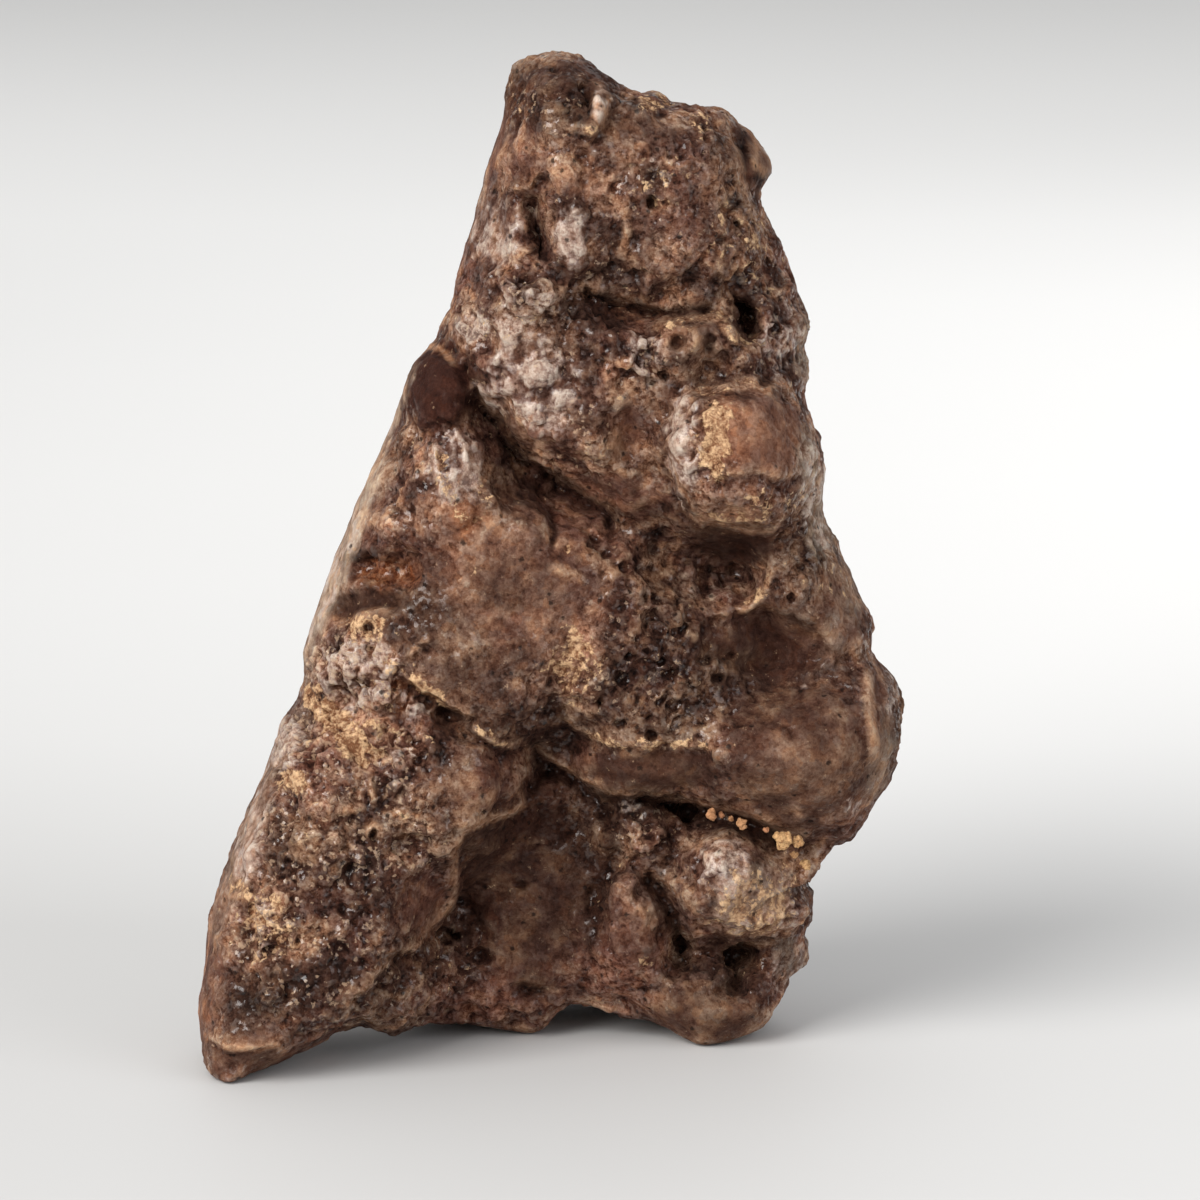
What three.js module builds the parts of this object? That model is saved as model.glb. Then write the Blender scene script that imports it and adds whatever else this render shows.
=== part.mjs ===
// A meteorite: one weathered iron stone standing on its own three feet, with nine loose soil grains
// lodged in the crevice under its lower right lobe. Millimetres, +Z up, the broad front face to -Y.
//
// The stone is two sheets, a front and a back, that share one rim. The rim is drawn on a plane that
// leans back by faceTilt, in across (right) and up (along the leaning plane); depth runs back along Y.
// Moving a point in depth slides it along the normal of that plane's lines, so the rim keeps its shape.
import * as THREE from 'three'
import { mergeVertices } from 'three/addons/utils/BufferGeometryUtils.js'

// driving dimensions
const faceTilt = THREE.MathUtils.degToRad(12)
const columns = 42
const rows = 54
const midDepth = 16
const rimCrowding = 0.06
const underCrowding = 0.5
const sideRounding = 6.5
const topRounding = 5.5
const frontFootRounding = 2.6
const underRounding = 1.2
const underEdge = 2.6
const lowestRelief = 2
const lobeBlend = 0.7
const lobeShoulder = 0.9
const lobeWall = 2.2
const lobeSquareness = 2.5
const roughness = 0.4
const roughnessScale = 4.5
const archHeight = 2.2
const archReach = 9.5
const padSink = 0.3
const groundStep = 0.25
const grainRoughness = 0.1

const tiltSin = Math.sin(faceTilt)
const tiltCos = Math.cos(faceTilt)

// rim points: [across, up, depth]. The left side and the right side run upwards, the foot line and the
// crown run from left to right, and the four lines meet at their ends.
const leftSide = [
  [-27.2, 1.3, 3.5], [-27.6, 2.6, 6], [-27.9, 6, 10], [-27.5, 9.5, 12], [-27, 12.8, 13],
  [-26.1, 16, 13], [-25, 19, 13], [-23.6, 22.2, 13.5], [-22.6, 24.6, 14], [-21.2, 27.8, 14],
  [-20, 30.3, 14.5], [-19.5, 31.2, 14.5], [-19.8, 33.4, 14.5], [-18.9, 36, 15],
  [-17.8, 39.2, 15.5], [-16.6, 42.2, 16], [-15.3, 45.5, 16], [-14, 48.4, 16], [-12.6, 52.3, 16],
  [-11.2, 55.2, 15.5], [-10.2, 56.4, 15.5], [-9.3, 56.7, 15.5], [-9.2, 57.8, 15.5],
  [-8.5, 59.2, 15.5], [-7.9, 62, 16], [-7.3, 64, 16.5], [-6.6, 66, 16.5], [-6.1, 68, 16.5],
  [-5.4, 71, 16.5], [-4.7, 74, 16.5], [-4.1, 76.9, 16],
]
const rightSide = [
  [18.4, 8.4, 17], [19.1, 8.9, 17.5], [19.1, 10, 18], [18.7, 11.3, 18.5], [19.5, 12.4, 18.5],
  [19.7, 13.4, 18.5], [19.4, 14.7, 18.5], [18.5, 15.8, 18.5], [18.2, 17, 18.5], [18.9, 17.7, 17.5],
  [20.5, 17.9, 16.5], [22.2, 17.8, 16.5], [23, 19, 16.5], [24.2, 20.9, 17], [25.6, 23.1, 17.5],
  [26.1, 26, 18], [26.3, 28.6, 18.5], [25.8, 30.8, 19], [24.4, 32.5, 19.5], [23.8, 33.3, 19.5],
  [24.1, 35, 19.5], [23.1, 37.5, 19.5], [22.3, 39.8, 19.5], [21, 42, 19], [20.1, 44.2, 18.5],
  [20.5, 46.6, 18], [20.1, 49.2, 17.5], [19.2, 51.5, 17.5], [18.7, 52.7, 17.5], [19.5, 54.4, 18],
  [18.9, 56.3, 18.5], [19.4, 57.8, 18.5], [18.4, 60.2, 19], [17.8, 62.7, 19.5], [16.7, 65, 20],
  [15.3, 68, 20.5], [16.5, 69.9, 21], [16, 71.2, 21], [14.6, 73.1, 20.5],
]
const footLine = [
  [-27.2, 1.3, 3.5], [-26.8, 0.5, 1.6], [-26, 0, 0], [-25.2, -0.2, -1], [-24.4, 0, -0.3],
  [-23.5, 0.5, 1.5], [-22, 1, 3.5], [-20.5, 1.7, 5], [-18.5, 2.5, 6.5], [-17, 3.6, 8.5],
  [-15.2, 4.2, 10], [-13, 3.2, 10.5], [-11.4, 3.5, 11.5], [-10, 4, 12.5], [-7, 4, 13.5],
  [-5, 3.7, 14.3], [-3.6, 3.4, 15.2], [-2, 3.2, 15.2], [-0.9, 3.9, 15], [0.2, 5.8, 14.5],
  [2.4, 5.6, 14.5], [4.6, 4.7, 14], [6.4, 4.6, 13.5], [8.2, 3.7, 13], [9.8, 2.8, 12.3],
  [10.8, 2.4, 11.4], [12.4, 2.6, 12], [14.4, 3.2, 12.8], [15.8, 3.9, 13.4], [16.5, 5.4, 14.4],
  [17.1, 7, 15.6], [18.4, 8.4, 17],
]
const crown = [
  [-4.1, 76.9, 16], [-3.5, 78, 15.5], [-2.4, 78.6, 15], [-1, 78.9, 15], [0.6, 78.8, 15],
  [2, 78, 15], [3.8, 77, 15.5], [5.3, 75.9, 16], [7.3, 75.9, 16.5], [8.2, 75, 17],
  [10.5, 74.9, 18], [12.4, 74.7, 19], [13.4, 73.8, 20], [14.6, 73.1, 20.5],
]

// masses of the front: [across, up, half width, half height, turn, height, slope across, slope up, dome]
const frontLobes = [
  [5.5, 68.5, 10.5, 10, 0, 9.6, -0.12, 0.02, 0.6],
  [-5, 63.6, 3, 6.2, -10, 8, 0.1, 0, 0.6],
  [15, 70.8, 2.6, 3, 0, 4.6, 0, 0, 0.8],
  [15, 63, 3.6, 6, 0, 5.6, -0.5, 0, 0.5],
  [-2.2, 59.7, 3.6, 1.8, -24, 11, 0, 0, 1.2],
  [-0.5, 54, 8.6, 5.4, -28, 11.4, 0.05, 0, 0.8],
  [6, 51, 5, 7, 10, 10.6, 0, 0, 0.6],
  [10.6, 57.4, 3.2, 1.6, 0, 11.2, 0, 0, 0.8],
  [14, 47.6, 6.4, 5.4, 5, 13.6, -0.05, 0.05, 1.8],
  [16, 55.5, 3.6, 4.4, 0, 8.4, -0.4, 0, 0.6],
  [-9.2, 53, 2.7, 4, 18, 9.6, 0.1, 0, 1],
  [-8.6, 46.6, 3.4, 3.4, 20, 10.6, 0, 0, 1.2],
  [-12.4, 43, 3.4, 4.2, 20, 9.2, 0.15, 0, 0.8],
  [-7.5, 38, 9, 7.5, -25, 11, 0.02, 0.03, 0.6],
  [-15.8, 32.4, 4.3, 3.2, 0, 10.8, 0.1, 0, 1],
  [-7.5, 31.6, 6.4, 4.8, -20, 12, 0, -0.04, 0.8],
  [2, 36.5, 4.5, 6.5, 0, 9.8, 0, 0, 0.6],
  [8, 31, 7, 5.6, 0, 9.6, 0, 0, 0.7],
  [13, 31.5, 9, 8, 0, 6.6, -0.05, 0, 0.3],
  [19.6, 38.5, 4, 6, 20, 7.2, -0.35, 0, 0.5],
  [24, 28.6, 2.6, 4.6, 0, 6.8, -0.2, 0, 0.6],
  [18, 24, 7.2, 5.6, -5, 11, -0.12, 0, 1.4],
  [8.5, 24, 6.5, 2.2, 0, 9.2, 0, 0, 0.8],
  [-13.5, 21.6, 9.5, 6.4, 35, 13, 0, 0, 0.8],
  [-20, 12, 7.8, 12, -14, 15.6, -0.05, -0.14, 1],
  [-24, 4, 4, 3.4, 0, 17.8, 0, 0, 1.4],
  [-13, 8, 3.6, 3, 30, 9.4, 0, 0, 1],
  [-2, 14, 8, 10, 0, 3.6, -0.1, -0.02, 0.4],
  [-2.6, 5.4, 3, 2.4, 0, 2, 0, 0, 0.8],
  [5.4, 12, 3, 5.4, -8, 6, 0, 0, 1.2],
  [6.4, 19.4, 3, 2.4, 0, 6.4, 0, 0, 1],
  [14.2, 15, 5.4, 4, 0, 7.6, 0, 0, 1.2],
  [17, 8.6, 2.6, 2.6, 0, 4.6, 0, 0, 1],
  [12, 5.4, 5.4, 3, 0, 6, 0, -0.05, 1],
]
// hollows of the front: [across, up, half width, half height, turn, depth]
const frontHollows = [
  [15.5, 31.6, 5, 4.6, 0, 3.2],
  [13.2, 39.2, 3.6, 2.2, 0, 2.4],
  [5.5, 50, 1.9, 3.4, 0, 1.6],
  [13.4, 58.6, 2.2, 2, -30, 2.2],
  [-13.4, 39.3, 2.8, 1.6, 0, 1.6],
  [1.4, 43.6, 2.6, 1.8, 0, 1.8],
  [-1.7, 65, 1.4, 3.4, 0, 1.4],
  [11.5, 20.7, 5.6, 1.7, -6, 5],
  [0.8, 23.6, 2.2, 1.6, -30, 2.4],
  [17.2, 18.5, 2.6, 1.5, -25, 3.4],
  [13.8, 8.4, 2.2, 1.9, 0, 2],
  [-8.3, 11.6, 1.8, 1.8, 0, 2],
]
// lines pressed into the front: [width, depth, then across and up of each corner]
const frontGrooves = [
  [1.5, 2, -8.3, 56.2, -6.5, 53.3, -4.8, 50.8, -3, 48.3, -0.6, 46.6, 2.6, 44.6, 4.6, 42.6],
  [1.1, 1.6, 1.2, 60.4, 4, 59.5, 7.6, 58.7, 12, 58.9],
  [1.2, 1.2, -19.3, 30.3, -17.5, 28.2, -15, 25.2, -12, 27],
  [1.2, 1.3, -11.5, 30.2, -8.5, 28.5, -6.2, 27.7, -4, 25.4, -2, 26.2],
  [1.1, 1, 6.2, 16, 8.2, 13.2, 9.2, 9.8, 9, 8],
  [1.1, 1, 12.2, 11.6, 14, 10.3, 17, 10.2, 18.6, 11.1],
]
// masses of the back, in the same form, their heights measured back from the middle
const backLobes = [
  [3, 67, 11, 12, 0, 12, -0.1, 0, 3],
  [12, 56, 8, 9, 0, 12.6, -0.1, 0, 2.6],
  [-3, 50, 9, 9, -15, 13.6, 0, 0.05, 2.4],
  [-9, 36, 11, 11, -20, 13, 0, 0, 3],
  [8, 38, 12, 12, 10, 14.6, -0.03, 0, 3],
  [18, 30, 8, 10, 0, 12, -0.2, 0, 2.6],
  [3, 22, 12, 10, 0, 15, 0, 0, 2.4],
  [-15, 20, 10, 10, -20, 9.4, 0.2, 0, 2.4],
  [2, 10, 12.5, 10, 0, 14.8, 0, 0, 2],
  [13, 11, 7, 7, 0, 10, -0.2, 0, 2],
  [-22, 9, 6, 10, -10, 2, 0.3, 0, 1.6],
]
const backHollows = [
  [2, 44, 5, 3.4, 20, 2],
  [-8, 27, 5, 3, -30, 1.8],
  [14, 46, 3.4, 4, 0, 1.8],
  [6, 58, 4.6, 2.4, -20, 1.6],
  [12, 23, 3.6, 3.4, 0, 1.6],
  [-2, 70, 3, 3, 0, 1.2],
]
const backGrooves = [
  [1.6, 1.4, -14, 44, -6, 42, 2, 33, 10, 30],
  [1.4, 1.2, 16, 62, 8, 50, 10, 42],
]
// where the stone meets the ground: [x, y] of the middle of each pad
const pads = [
  [-24.6, 3.4], [11.8, 14.2], [-2.6, 17.6], [-5, 26], [9, 26.5],
]
// grains: [across, up, depth of the middle, width, height, thickness, turn]
const grains = [
  [11.6, 20.5, 9.2, 0.7, 1.1, 0.7, 20],
  [12.4, 20.45, 9.5, 0.5, 0.55, 0.5, 0],
  [13.1, 20.15, 9.5, 0.45, 0.5, 0.5, 40],
  [13.95, 19.8, 9.1, 0.8, 0.9, 0.7, 10],
  [15.8, 19.3, 9.2, 0.5, 0.5, 0.4, 0],
  [17.05, 18.5, 9.4, 1.25, 1.2, 1, 30],
  [18.3, 18.4, 9.8, 0.85, 0.85, 0.8, 0],
  [18, 17.35, 11.2, 0.6, 0.55, 0.5, 15],
  [18.85, 16.6, 11.7, 0.8, 0.8, 0.8, 0],
]

function lineLengths(line) {
  const lengths = [0]
  for (let i = 1; i < line.length; i += 1) {
    const step = Math.hypot(line[i][0] - line[i - 1][0], line[i][1] - line[i - 1][1])
    lengths.push(lengths[i - 1] + step)
  }
  return lengths
}

// the point a given share of the way along a rim line
function alongLine(line, share) {
  const lengths = lineLengths(line)
  const wanted = share * lengths[lengths.length - 1]
  let i = 1
  while (i < lengths.length - 1 && lengths[i] < wanted) {
    i += 1
  }
  const part = (wanted - lengths[i - 1]) / (lengths[i] - lengths[i - 1])
  return line[i].map((value, k) => line[i - 1][k] + (value - line[i - 1][k]) * part)
}

// rows and columns draw together towards the rim, where the sheets turn steeply
function crowded(share) {
  return share - rimCrowding * Math.sin(2 * Math.PI * share)
}

// evenly spread points along a rim line, the nearest of them moved onto the line's own corners
function stations(line, count) {
  const lengths = lineLengths(line)
  const total = lengths[lengths.length - 1]
  const shares = Array.from({ length: count + 1 }, (_, i) => crowded(i / count))
  let used = 0
  for (let k = 1; k < line.length - 1; k += 1) {
    const corner = lengths[k] / total
    let nearest = used + 1
    const miss = (i) => Math.abs(shares[i] - corner)
    while (nearest < count - 1 && miss(nearest + 1) < miss(nearest)) {
      nearest += 1
    }
    shares[nearest] = corner
    used = nearest
  }
  return shares.map((share) => alongLine(line, share))
}

const leftStations = stations(leftSide, rows)
const rightStations = stations(rightSide, rows)
const footStations = stations(footLine, columns)
const crownStations = stations(crown, columns)

// the point between two stations at a row number with a fraction
function betweenStations(points, row) {
  const lower = Math.min(Math.floor(row), points.length - 2)
  const part = row - lower
  return points[lower].map((value, k) => value + (points[lower + 1][k] - value) * part)
}

// a four-sided patch filled in from its four rim lines; crowding moves the inner rows down
function patchPoint(i, j, crowding) {
  const u = crowded(i / columns)
  const row = rows * (j / rows) ** (1 + crowding * Math.sin(Math.PI * u))
  const v = crowded(row / rows)
  const left = betweenStations(leftStations, row)
  const right = betweenStations(rightStations, row)
  return [0, 1, 2].map((k) => {
    const sides = (1 - u) * left[k] + u * right[k]
    const ends = (1 - v) * footStations[i][k] + v * crownStations[i][k]
    const lowCorners = (1 - u) * leftStations[0][k] + u * rightStations[0][k]
    const highCorners = (1 - u) * leftStations[rows][k] + u * rightStations[rows][k]
    return sides + ends - (1 - v) * lowCorners - v * highCorners
  })
}

function distanceToSegment(a, b, p, q) {
  const runA = q[0] - p[0]
  const runB = q[1] - p[1]
  const along = ((a - p[0]) * runA + (b - p[1]) * runB) / (runA * runA + runB * runB)
  const t = Math.min(1, Math.max(0, along))
  return Math.hypot(a - p[0] - t * runA, b - p[1] - t * runB)
}

function distanceToLine(a, b, line) {
  let nearest = Infinity
  for (let i = 1; i < line.length; i += 1) {
    nearest = Math.min(nearest, distanceToSegment(a, b, line[i - 1], line[i]))
  }
  return nearest
}

// a quarter circle: 0 at the rim, 1 from the given width inwards
function rounding(distance, width) {
  const rest = 1 - Math.min(distance / width, 1)
  return Math.sqrt(1 - rest * rest)
}

// squared-off distance from the middle of a turned ellipse, 1 at its edge
function ellipseDistance(a, b, shape) {
  const turn = THREE.MathUtils.degToRad(shape[4])
  const offA = a - shape[0]
  const offB = b - shape[1]
  const u = Math.abs(offA * Math.cos(turn) + offB * Math.sin(turn)) / shape[2]
  const v = Math.abs(offB * Math.cos(turn) - offA * Math.sin(turn)) / shape[3]
  return (u ** lobeSquareness + v ** lobeSquareness) ** (1 / lobeSquareness)
}

// a lobe has a low dome inside its ellipse and falls steeply outside it
function lobeHeight(a, b, lobe) {
  const s = ellipseDistance(a, b, lobe)
  const slopes = lobe[6] * (a - lobe[0]) + lobe[7] * (b - lobe[1])
  const beyond = Math.max(0, s - lobeShoulder) * Math.min(lobe[2], lobe[3])
  return lobe[5] + slopes - lobe[8] * s * s - lobeWall * beyond
}

// repeatable noise: smoothed random values on a lattice, between -1 and 1
function latticeValue(i, j, k) {
  const mixed = Math.sin(i * 127.1 + j * 311.7 + k * 74.7) * 43758.5453
  return 2 * (mixed - Math.floor(mixed)) - 1
}

function noise(x, y, z) {
  const cell = [Math.floor(x), Math.floor(y), Math.floor(z)]
  const part = [x - cell[0], y - cell[1], z - cell[2]].map((t) => t * t * (3 - 2 * t))
  let total = 0
  for (let corner = 0; corner < 8; corner += 1) {
    const offset = [corner & 1, (corner >> 1) & 1, corner >> 2]
    const weight = offset.reduce((product, on, k) => product * (on ? part[k] : 1 - part[k]), 1)
    total += weight * latticeValue(cell[0] + offset[0], cell[1] + offset[1], cell[2] + offset[2])
  }
  return total
}

// how far one side stands off the middle: blended lobes, less the hollows and grooves, plus roughness
function relief(a, b, lobes, hollows, grooves, layer) {
  const heights = [lowestRelief, ...lobes.map((lobe) => lobeHeight(a, b, lobe))]
  const sum = heights.reduce((total, height) => total + Math.exp(height / lobeBlend), 0)
  let stand = lobeBlend * Math.log(sum)
  for (const hollow of hollows) {
    const s = ellipseDistance(a, b, hollow)
    stand -= hollow[5] * Math.exp(-s * s)
  }
  for (const groove of grooves) {
    const corners = []
    for (let i = 2; i < groove.length; i += 2) {
      corners.push([groove[i], groove[i + 1]])
    }
    const s = distanceToLine(a, b, corners) / groove[0]
    stand -= groove[1] * Math.exp(-s * s)
  }
  const fine = noise(a / roughnessScale, b / roughnessScale, layer)
  const finer = noise(a * 2 / roughnessScale, b * 2 / roughnessScale, layer + 7)
  return stand + roughness * (fine + 0.6 * finer)
}

// height of the underside: just under the ground at each pad and arched between them
function undersideHeight(x, y) {
  const nearest = Math.min(...pads.map((pad) => Math.hypot(x - pad[0], y - pad[1])))
  return archHeight * (1 - Math.exp(-((nearest / archReach) ** 2))) - padSink
}

// depth at which a line into the stone comes out through the underside
function undersideDepth(a, b, start, end) {
  for (let y = start; y < end; y += groundStep) {
    if ((b - y * tiltSin) / tiltCos < undersideHeight(a, y)) {
      return y
    }
  }
  return end
}

function frontDepth(a, b, rimDepth) {
  const sides = Math.min(distanceToLine(a, b, leftSide), distanceToLine(a, b, rightSide))
  const rim = rounding(sides, sideRounding)
    * rounding(distanceToLine(a, b, crown), topRounding)
    * rounding(distanceToLine(a, b, footLine), frontFootRounding)
  const depth = midDepth - relief(a, b, frontLobes, frontHollows, frontGrooves, 0)
  return rimDepth + (depth - rimDepth) * rim
}

function backDepth(a, b, rimDepth) {
  const sides = Math.min(distanceToLine(a, b, leftSide), distanceToLine(a, b, rightSide))
  const rim = rounding(sides, sideRounding) * rounding(distanceToLine(a, b, crown), topRounding)
  const depth = midDepth + relief(a, b, backLobes, backHollows, backGrooves, 20)
  const rounded = rimDepth + (depth - rimDepth) * rim
  const under = undersideDepth(a, b, rimDepth, rounded + 3 * underEdge)
  const shallower = -underEdge * Math.log(Math.exp(-rounded / underEdge) + Math.exp(-under / underEdge))
  const foot = rounding(distanceToLine(a, b, footLine), underRounding)
  return rimDepth + (shallower - rimDepth) * foot
}

// across, up and depth to x, y, z; nothing reaches below the ground
function toSpace(a, b, depth) {
  return new THREE.Vector3(a, depth, Math.max(0, (b - depth * tiltSin) / tiltCos))
}

function sheet(isFront) {
  const grid = []
  for (let j = 0; j <= rows; j += 1) {
    const line = []
    for (let i = 0; i <= columns; i += 1) {
      const onRim = i === 0 || j === 0 || i === columns || j === rows
      const [a, b, rimDepth] = patchPoint(i, j, isFront ? 0 : underCrowding)
      const depth = isFront ? frontDepth(a, b, rimDepth) : backDepth(a, b, rimDepth)
      line.push(toSpace(a, b, onRim ? rimDepth : depth))
    }
    grid.push(line)
  }
  return grid
}

// two triangles for each square, split along its shorter diagonal
function sheetTriangles(grid, isFront) {
  const corners = []
  for (let j = 0; j < rows; j += 1) {
    for (let i = 0; i < columns; i += 1) {
      const square = [grid[j][i], grid[j][i + 1], grid[j + 1][i + 1], grid[j + 1][i]]
      const short = square[0].distanceTo(square[2]) < square[1].distanceTo(square[3])
      const order = short ? [0, 1, 2, 0, 2, 3] : [0, 1, 3, 1, 2, 3]
      const facing = isFront ? order : order.toReversed()
      corners.push(...facing.map((k) => square[k]))
    }
  }
  return corners
}

function closedGeometry(corners) {
  const loose = new THREE.BufferGeometry().setFromPoints(corners)
  const joined = mergeVertices(loose, 0.001)
  joined.computeVertexNormals()
  return joined
}

function stoneGeometry() {
  const front = sheetTriangles(sheet(true), true)
  const back = sheetTriangles(sheet(false), false)
  return closedGeometry([...front, ...back])
}

function grainGeometry(grain, seed) {
  const [a, b, depth, width, height, thickness, turn] = grain
  const loose = new THREE.IcosahedronGeometry(0.5, 1).deleteAttribute('normal').deleteAttribute('uv')
  const ball = mergeVertices(loose)
  const place = ball.attributes.position
  for (let i = 0; i < place.count; i += 1) {
    const point = new THREE.Vector3().fromBufferAttribute(place, i)
    point.multiplyScalar(1 + grainRoughness * noise(point.x * 3 + seed * 5, point.y * 3, point.z * 3))
    place.setXYZ(i, point.x, point.y, point.z)
  }
  ball.scale(width, thickness, height)
  ball.rotateY(THREE.MathUtils.degToRad(turn))
  const middle = toSpace(a, b, depth)
  ball.translate(middle.x, middle.y, middle.z)
  ball.computeVertexNormals()
  return ball
}

function named(geometry, name, color, roughnessValue, metalness) {
  const material = new THREE.MeshStandardMaterial({ color, roughness: roughnessValue, metalness })
  const mesh = new THREE.Mesh(geometry, material)
  mesh.name = name
  return mesh
}

const meteorite = new THREE.Group()
meteorite.name = 'meteorite'
meteorite.add(named(stoneGeometry(), 'stone', '#6b4f42', 0.62, 0))
grains.forEach((grain, i) => {
  meteorite.add(named(grainGeometry(grain, i + 1), `soil_grain_${i + 1}`, '#c9a06a', 0.95, 0))
})

// the origin is under the middle of the whole part, at ground level
const bounds = new THREE.Box3().setFromObject(meteorite)
const middle = bounds.getCenter(new THREE.Vector3())
meteorite.position.set(-middle.x, -middle.y, -bounds.min.z)

export default meteorite
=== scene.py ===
import math
import bmesh
import bpy
import numpy as np
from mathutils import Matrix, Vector


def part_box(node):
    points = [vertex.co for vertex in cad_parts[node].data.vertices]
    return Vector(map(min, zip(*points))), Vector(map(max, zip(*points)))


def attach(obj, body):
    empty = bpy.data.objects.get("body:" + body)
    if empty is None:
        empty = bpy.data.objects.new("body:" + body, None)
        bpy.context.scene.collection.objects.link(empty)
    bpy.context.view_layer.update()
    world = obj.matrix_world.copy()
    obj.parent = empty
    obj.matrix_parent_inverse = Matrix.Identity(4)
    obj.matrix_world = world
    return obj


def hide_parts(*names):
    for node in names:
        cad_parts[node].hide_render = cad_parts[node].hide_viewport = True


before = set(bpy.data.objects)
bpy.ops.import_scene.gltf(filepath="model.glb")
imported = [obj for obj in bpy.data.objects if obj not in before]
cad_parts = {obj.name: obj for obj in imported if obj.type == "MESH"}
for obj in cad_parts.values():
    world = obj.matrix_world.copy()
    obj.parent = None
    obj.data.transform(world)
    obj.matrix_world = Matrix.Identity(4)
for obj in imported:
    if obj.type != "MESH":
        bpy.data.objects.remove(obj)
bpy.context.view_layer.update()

stoneLow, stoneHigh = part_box("stone")

# the face plane leans back by tilt: across runs right along it, up runs up it and depth runs into the
# stone, all in millimetres; the extents of the stone's solid set the scale and the place
facePlane = {"tilt": 12.0, "left": -27.9, "right": 26.3, "back": 31.14}
unit = (stoneHigh[0] - stoneLow[0]) / (facePlane["right"] - facePlane["left"])  # metres to a millimetre
tiltSin = math.sin(math.radians(facePlane["tilt"]))
tiltCos = math.cos(math.radians(facePlane["tilt"]))
toViewer = np.array([0, -tiltCos, tiltSin])  # straight out of the face plane
placeShift = np.array([facePlane["left"] - stoneLow[0] / unit, facePlane["back"] - stoneHigh[1] / unit, 0.0])


def toLocal(points):
    # metres in the frame to millimetres: across, depth and height
    return points / unit + placeShift


def toFrame(points):
    # the other way round: millimetres back to metres in the frame
    return (points - placeShift) * unit


def faceOf(points):
    # across, and height on the leaning face plane: height times the cosine plus depth times the sine
    return np.column_stack([points[:, 0], points[:, 2] * tiltCos + points[:, 1] * tiltSin])


# the numbers that stir a lattice place into a chance one
hashMix = {"axes": (0x8DA6B343, 0xD8163841, 0xCB1AB31F), "seed": 0x9E3779B1, "again": 2654435761,
           "rounds": ((15, 0x2C1B3C6D), (12, 0x297A2D39), (15, 0x85EBCA6B)), "last": 16}
cellsAround = [np.array([k % 3 - 1, k // 3 % 3 - 1, k // 9 - 1]) for k in range(27)]


def hashed(cell, seed):
    # mixes three whole lattice numbers and a seed into one 32-bit number
    c = cell.astype(np.int64).astype(np.uint32)
    across, depth, height = (c[:, k] * np.uint32(factor) for k, factor in enumerate(hashMix["axes"]))
    h = across ^ depth ^ height ^ np.uint32((seed * hashMix["seed"]) & 0xFFFFFFFF)
    for shift, factor in hashMix["rounds"]:
        h = (h ^ (h >> np.uint32(shift))) * np.uint32(factor)
    return h ^ (h >> np.uint32(hashMix["last"]))


def split(h):
    # three numbers from 0 to 1 out of one 32-bit number, ten bits for each
    return np.stack([(h >> np.uint32(s)) & np.uint32(1023) for s in (0, 10, 20)], axis=1) / 1023.0


def chance(h, shift, steps):
    # a whole number below steps out of one 32-bit number
    return (h >> np.uint32(shift)) % np.uint32(steps)


def waves(points, size, seed):
    # gradient noise: a random slope at each lattice corner, blended by a smooth fade; about -1 to 1
    p = points / size
    cell = np.floor(p)
    part = p - cell
    fade = part ** 3 * (part * (part * 6 - 15) + 10)
    total = np.zeros(len(p))
    for corner in range(8):
        offset = np.array([corner & 1, corner >> 1 & 1, corner >> 2])
        slope = split(hashed(cell + offset, seed)) * 2 - 1
        weight = np.where(offset, fade, 1 - fade).prod(axis=1)
        total += weight * (slope * (part - offset)).sum(axis=1)
    return total * 1.5


def rough(points, size, seed, octaves=3):
    # waves added at halving sizes and strengths
    return sum(waves(points, size / 2 ** k, seed + k) * 0.5 ** k for k in range(octaves))


def cells(points, size, seed):
    # one random spot in each lattice cell: the distance to the nearest, in cells, and its own number
    p = points / size
    base = np.floor(p)
    gap, owner = np.full(len(p), 9.0), np.zeros(len(p))
    for step in cellsAround:
        cell = base + step
        h = hashed(cell, seed)
        away = np.sqrt(((cell + split(h) - p) ** 2).sum(axis=1))
        nearer = away < gap
        owner = np.where(nearer, chance(h, 7, 997) / 997.0, owner)
        gap = np.where(nearer, away, gap)
    return gap, owner


def smooth(low, high, value):
    # 0 at low, 1 at high, easing in and out
    t = np.clip((value - low) / (high - low), 0, 1)
    return t * t * (3 - 2 * t)


def ellipseReach(face, a, b, halfWide, halfHigh, turn=0.0):
    # distance from an ellipse's middle, 1 at its edge
    c, s = math.cos(math.radians(turn)), math.sin(math.radians(turn))
    offA, offB = face[:, 0] - a, face[:, 1] - b
    return np.hypot((offA * c + offB * s) / halfWide, (offB * c - offA * s) / halfHigh)


def dome(reach):
    # height of a half globe, 1 in the middle and 0 at the edge
    return np.sqrt(np.clip(1 - reach ** 2, 0, 1))


def patch(face, spots, soft):
    # soft-edged ellipses, the strongest of them at each point, each given as
    # (across, up, half width, half height, turn, strength)
    total = np.zeros(len(face))
    for a, b, wide, high, turn, strength in spots:
        reach = ellipseReach(face, a, b, wide, high, turn)
        total = np.maximum(total, strength * smooth(1 + soft, 1 - soft, reach))
    return total


def addObject(name, data):
    thing = bpy.data.objects.new(name, data)
    bpy.context.collection.objects.link(thing)
    return thing


# millimetres on the face plane; width is what the camera takes in there, clip is in metres
cameraSetting = {"across": 3.08, "up": 36.92, "depth": 16.0, "distance": 900.0, "width": 92.3, "sensor": 36.0,
                 "clip": (0.05, 20)}


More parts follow.
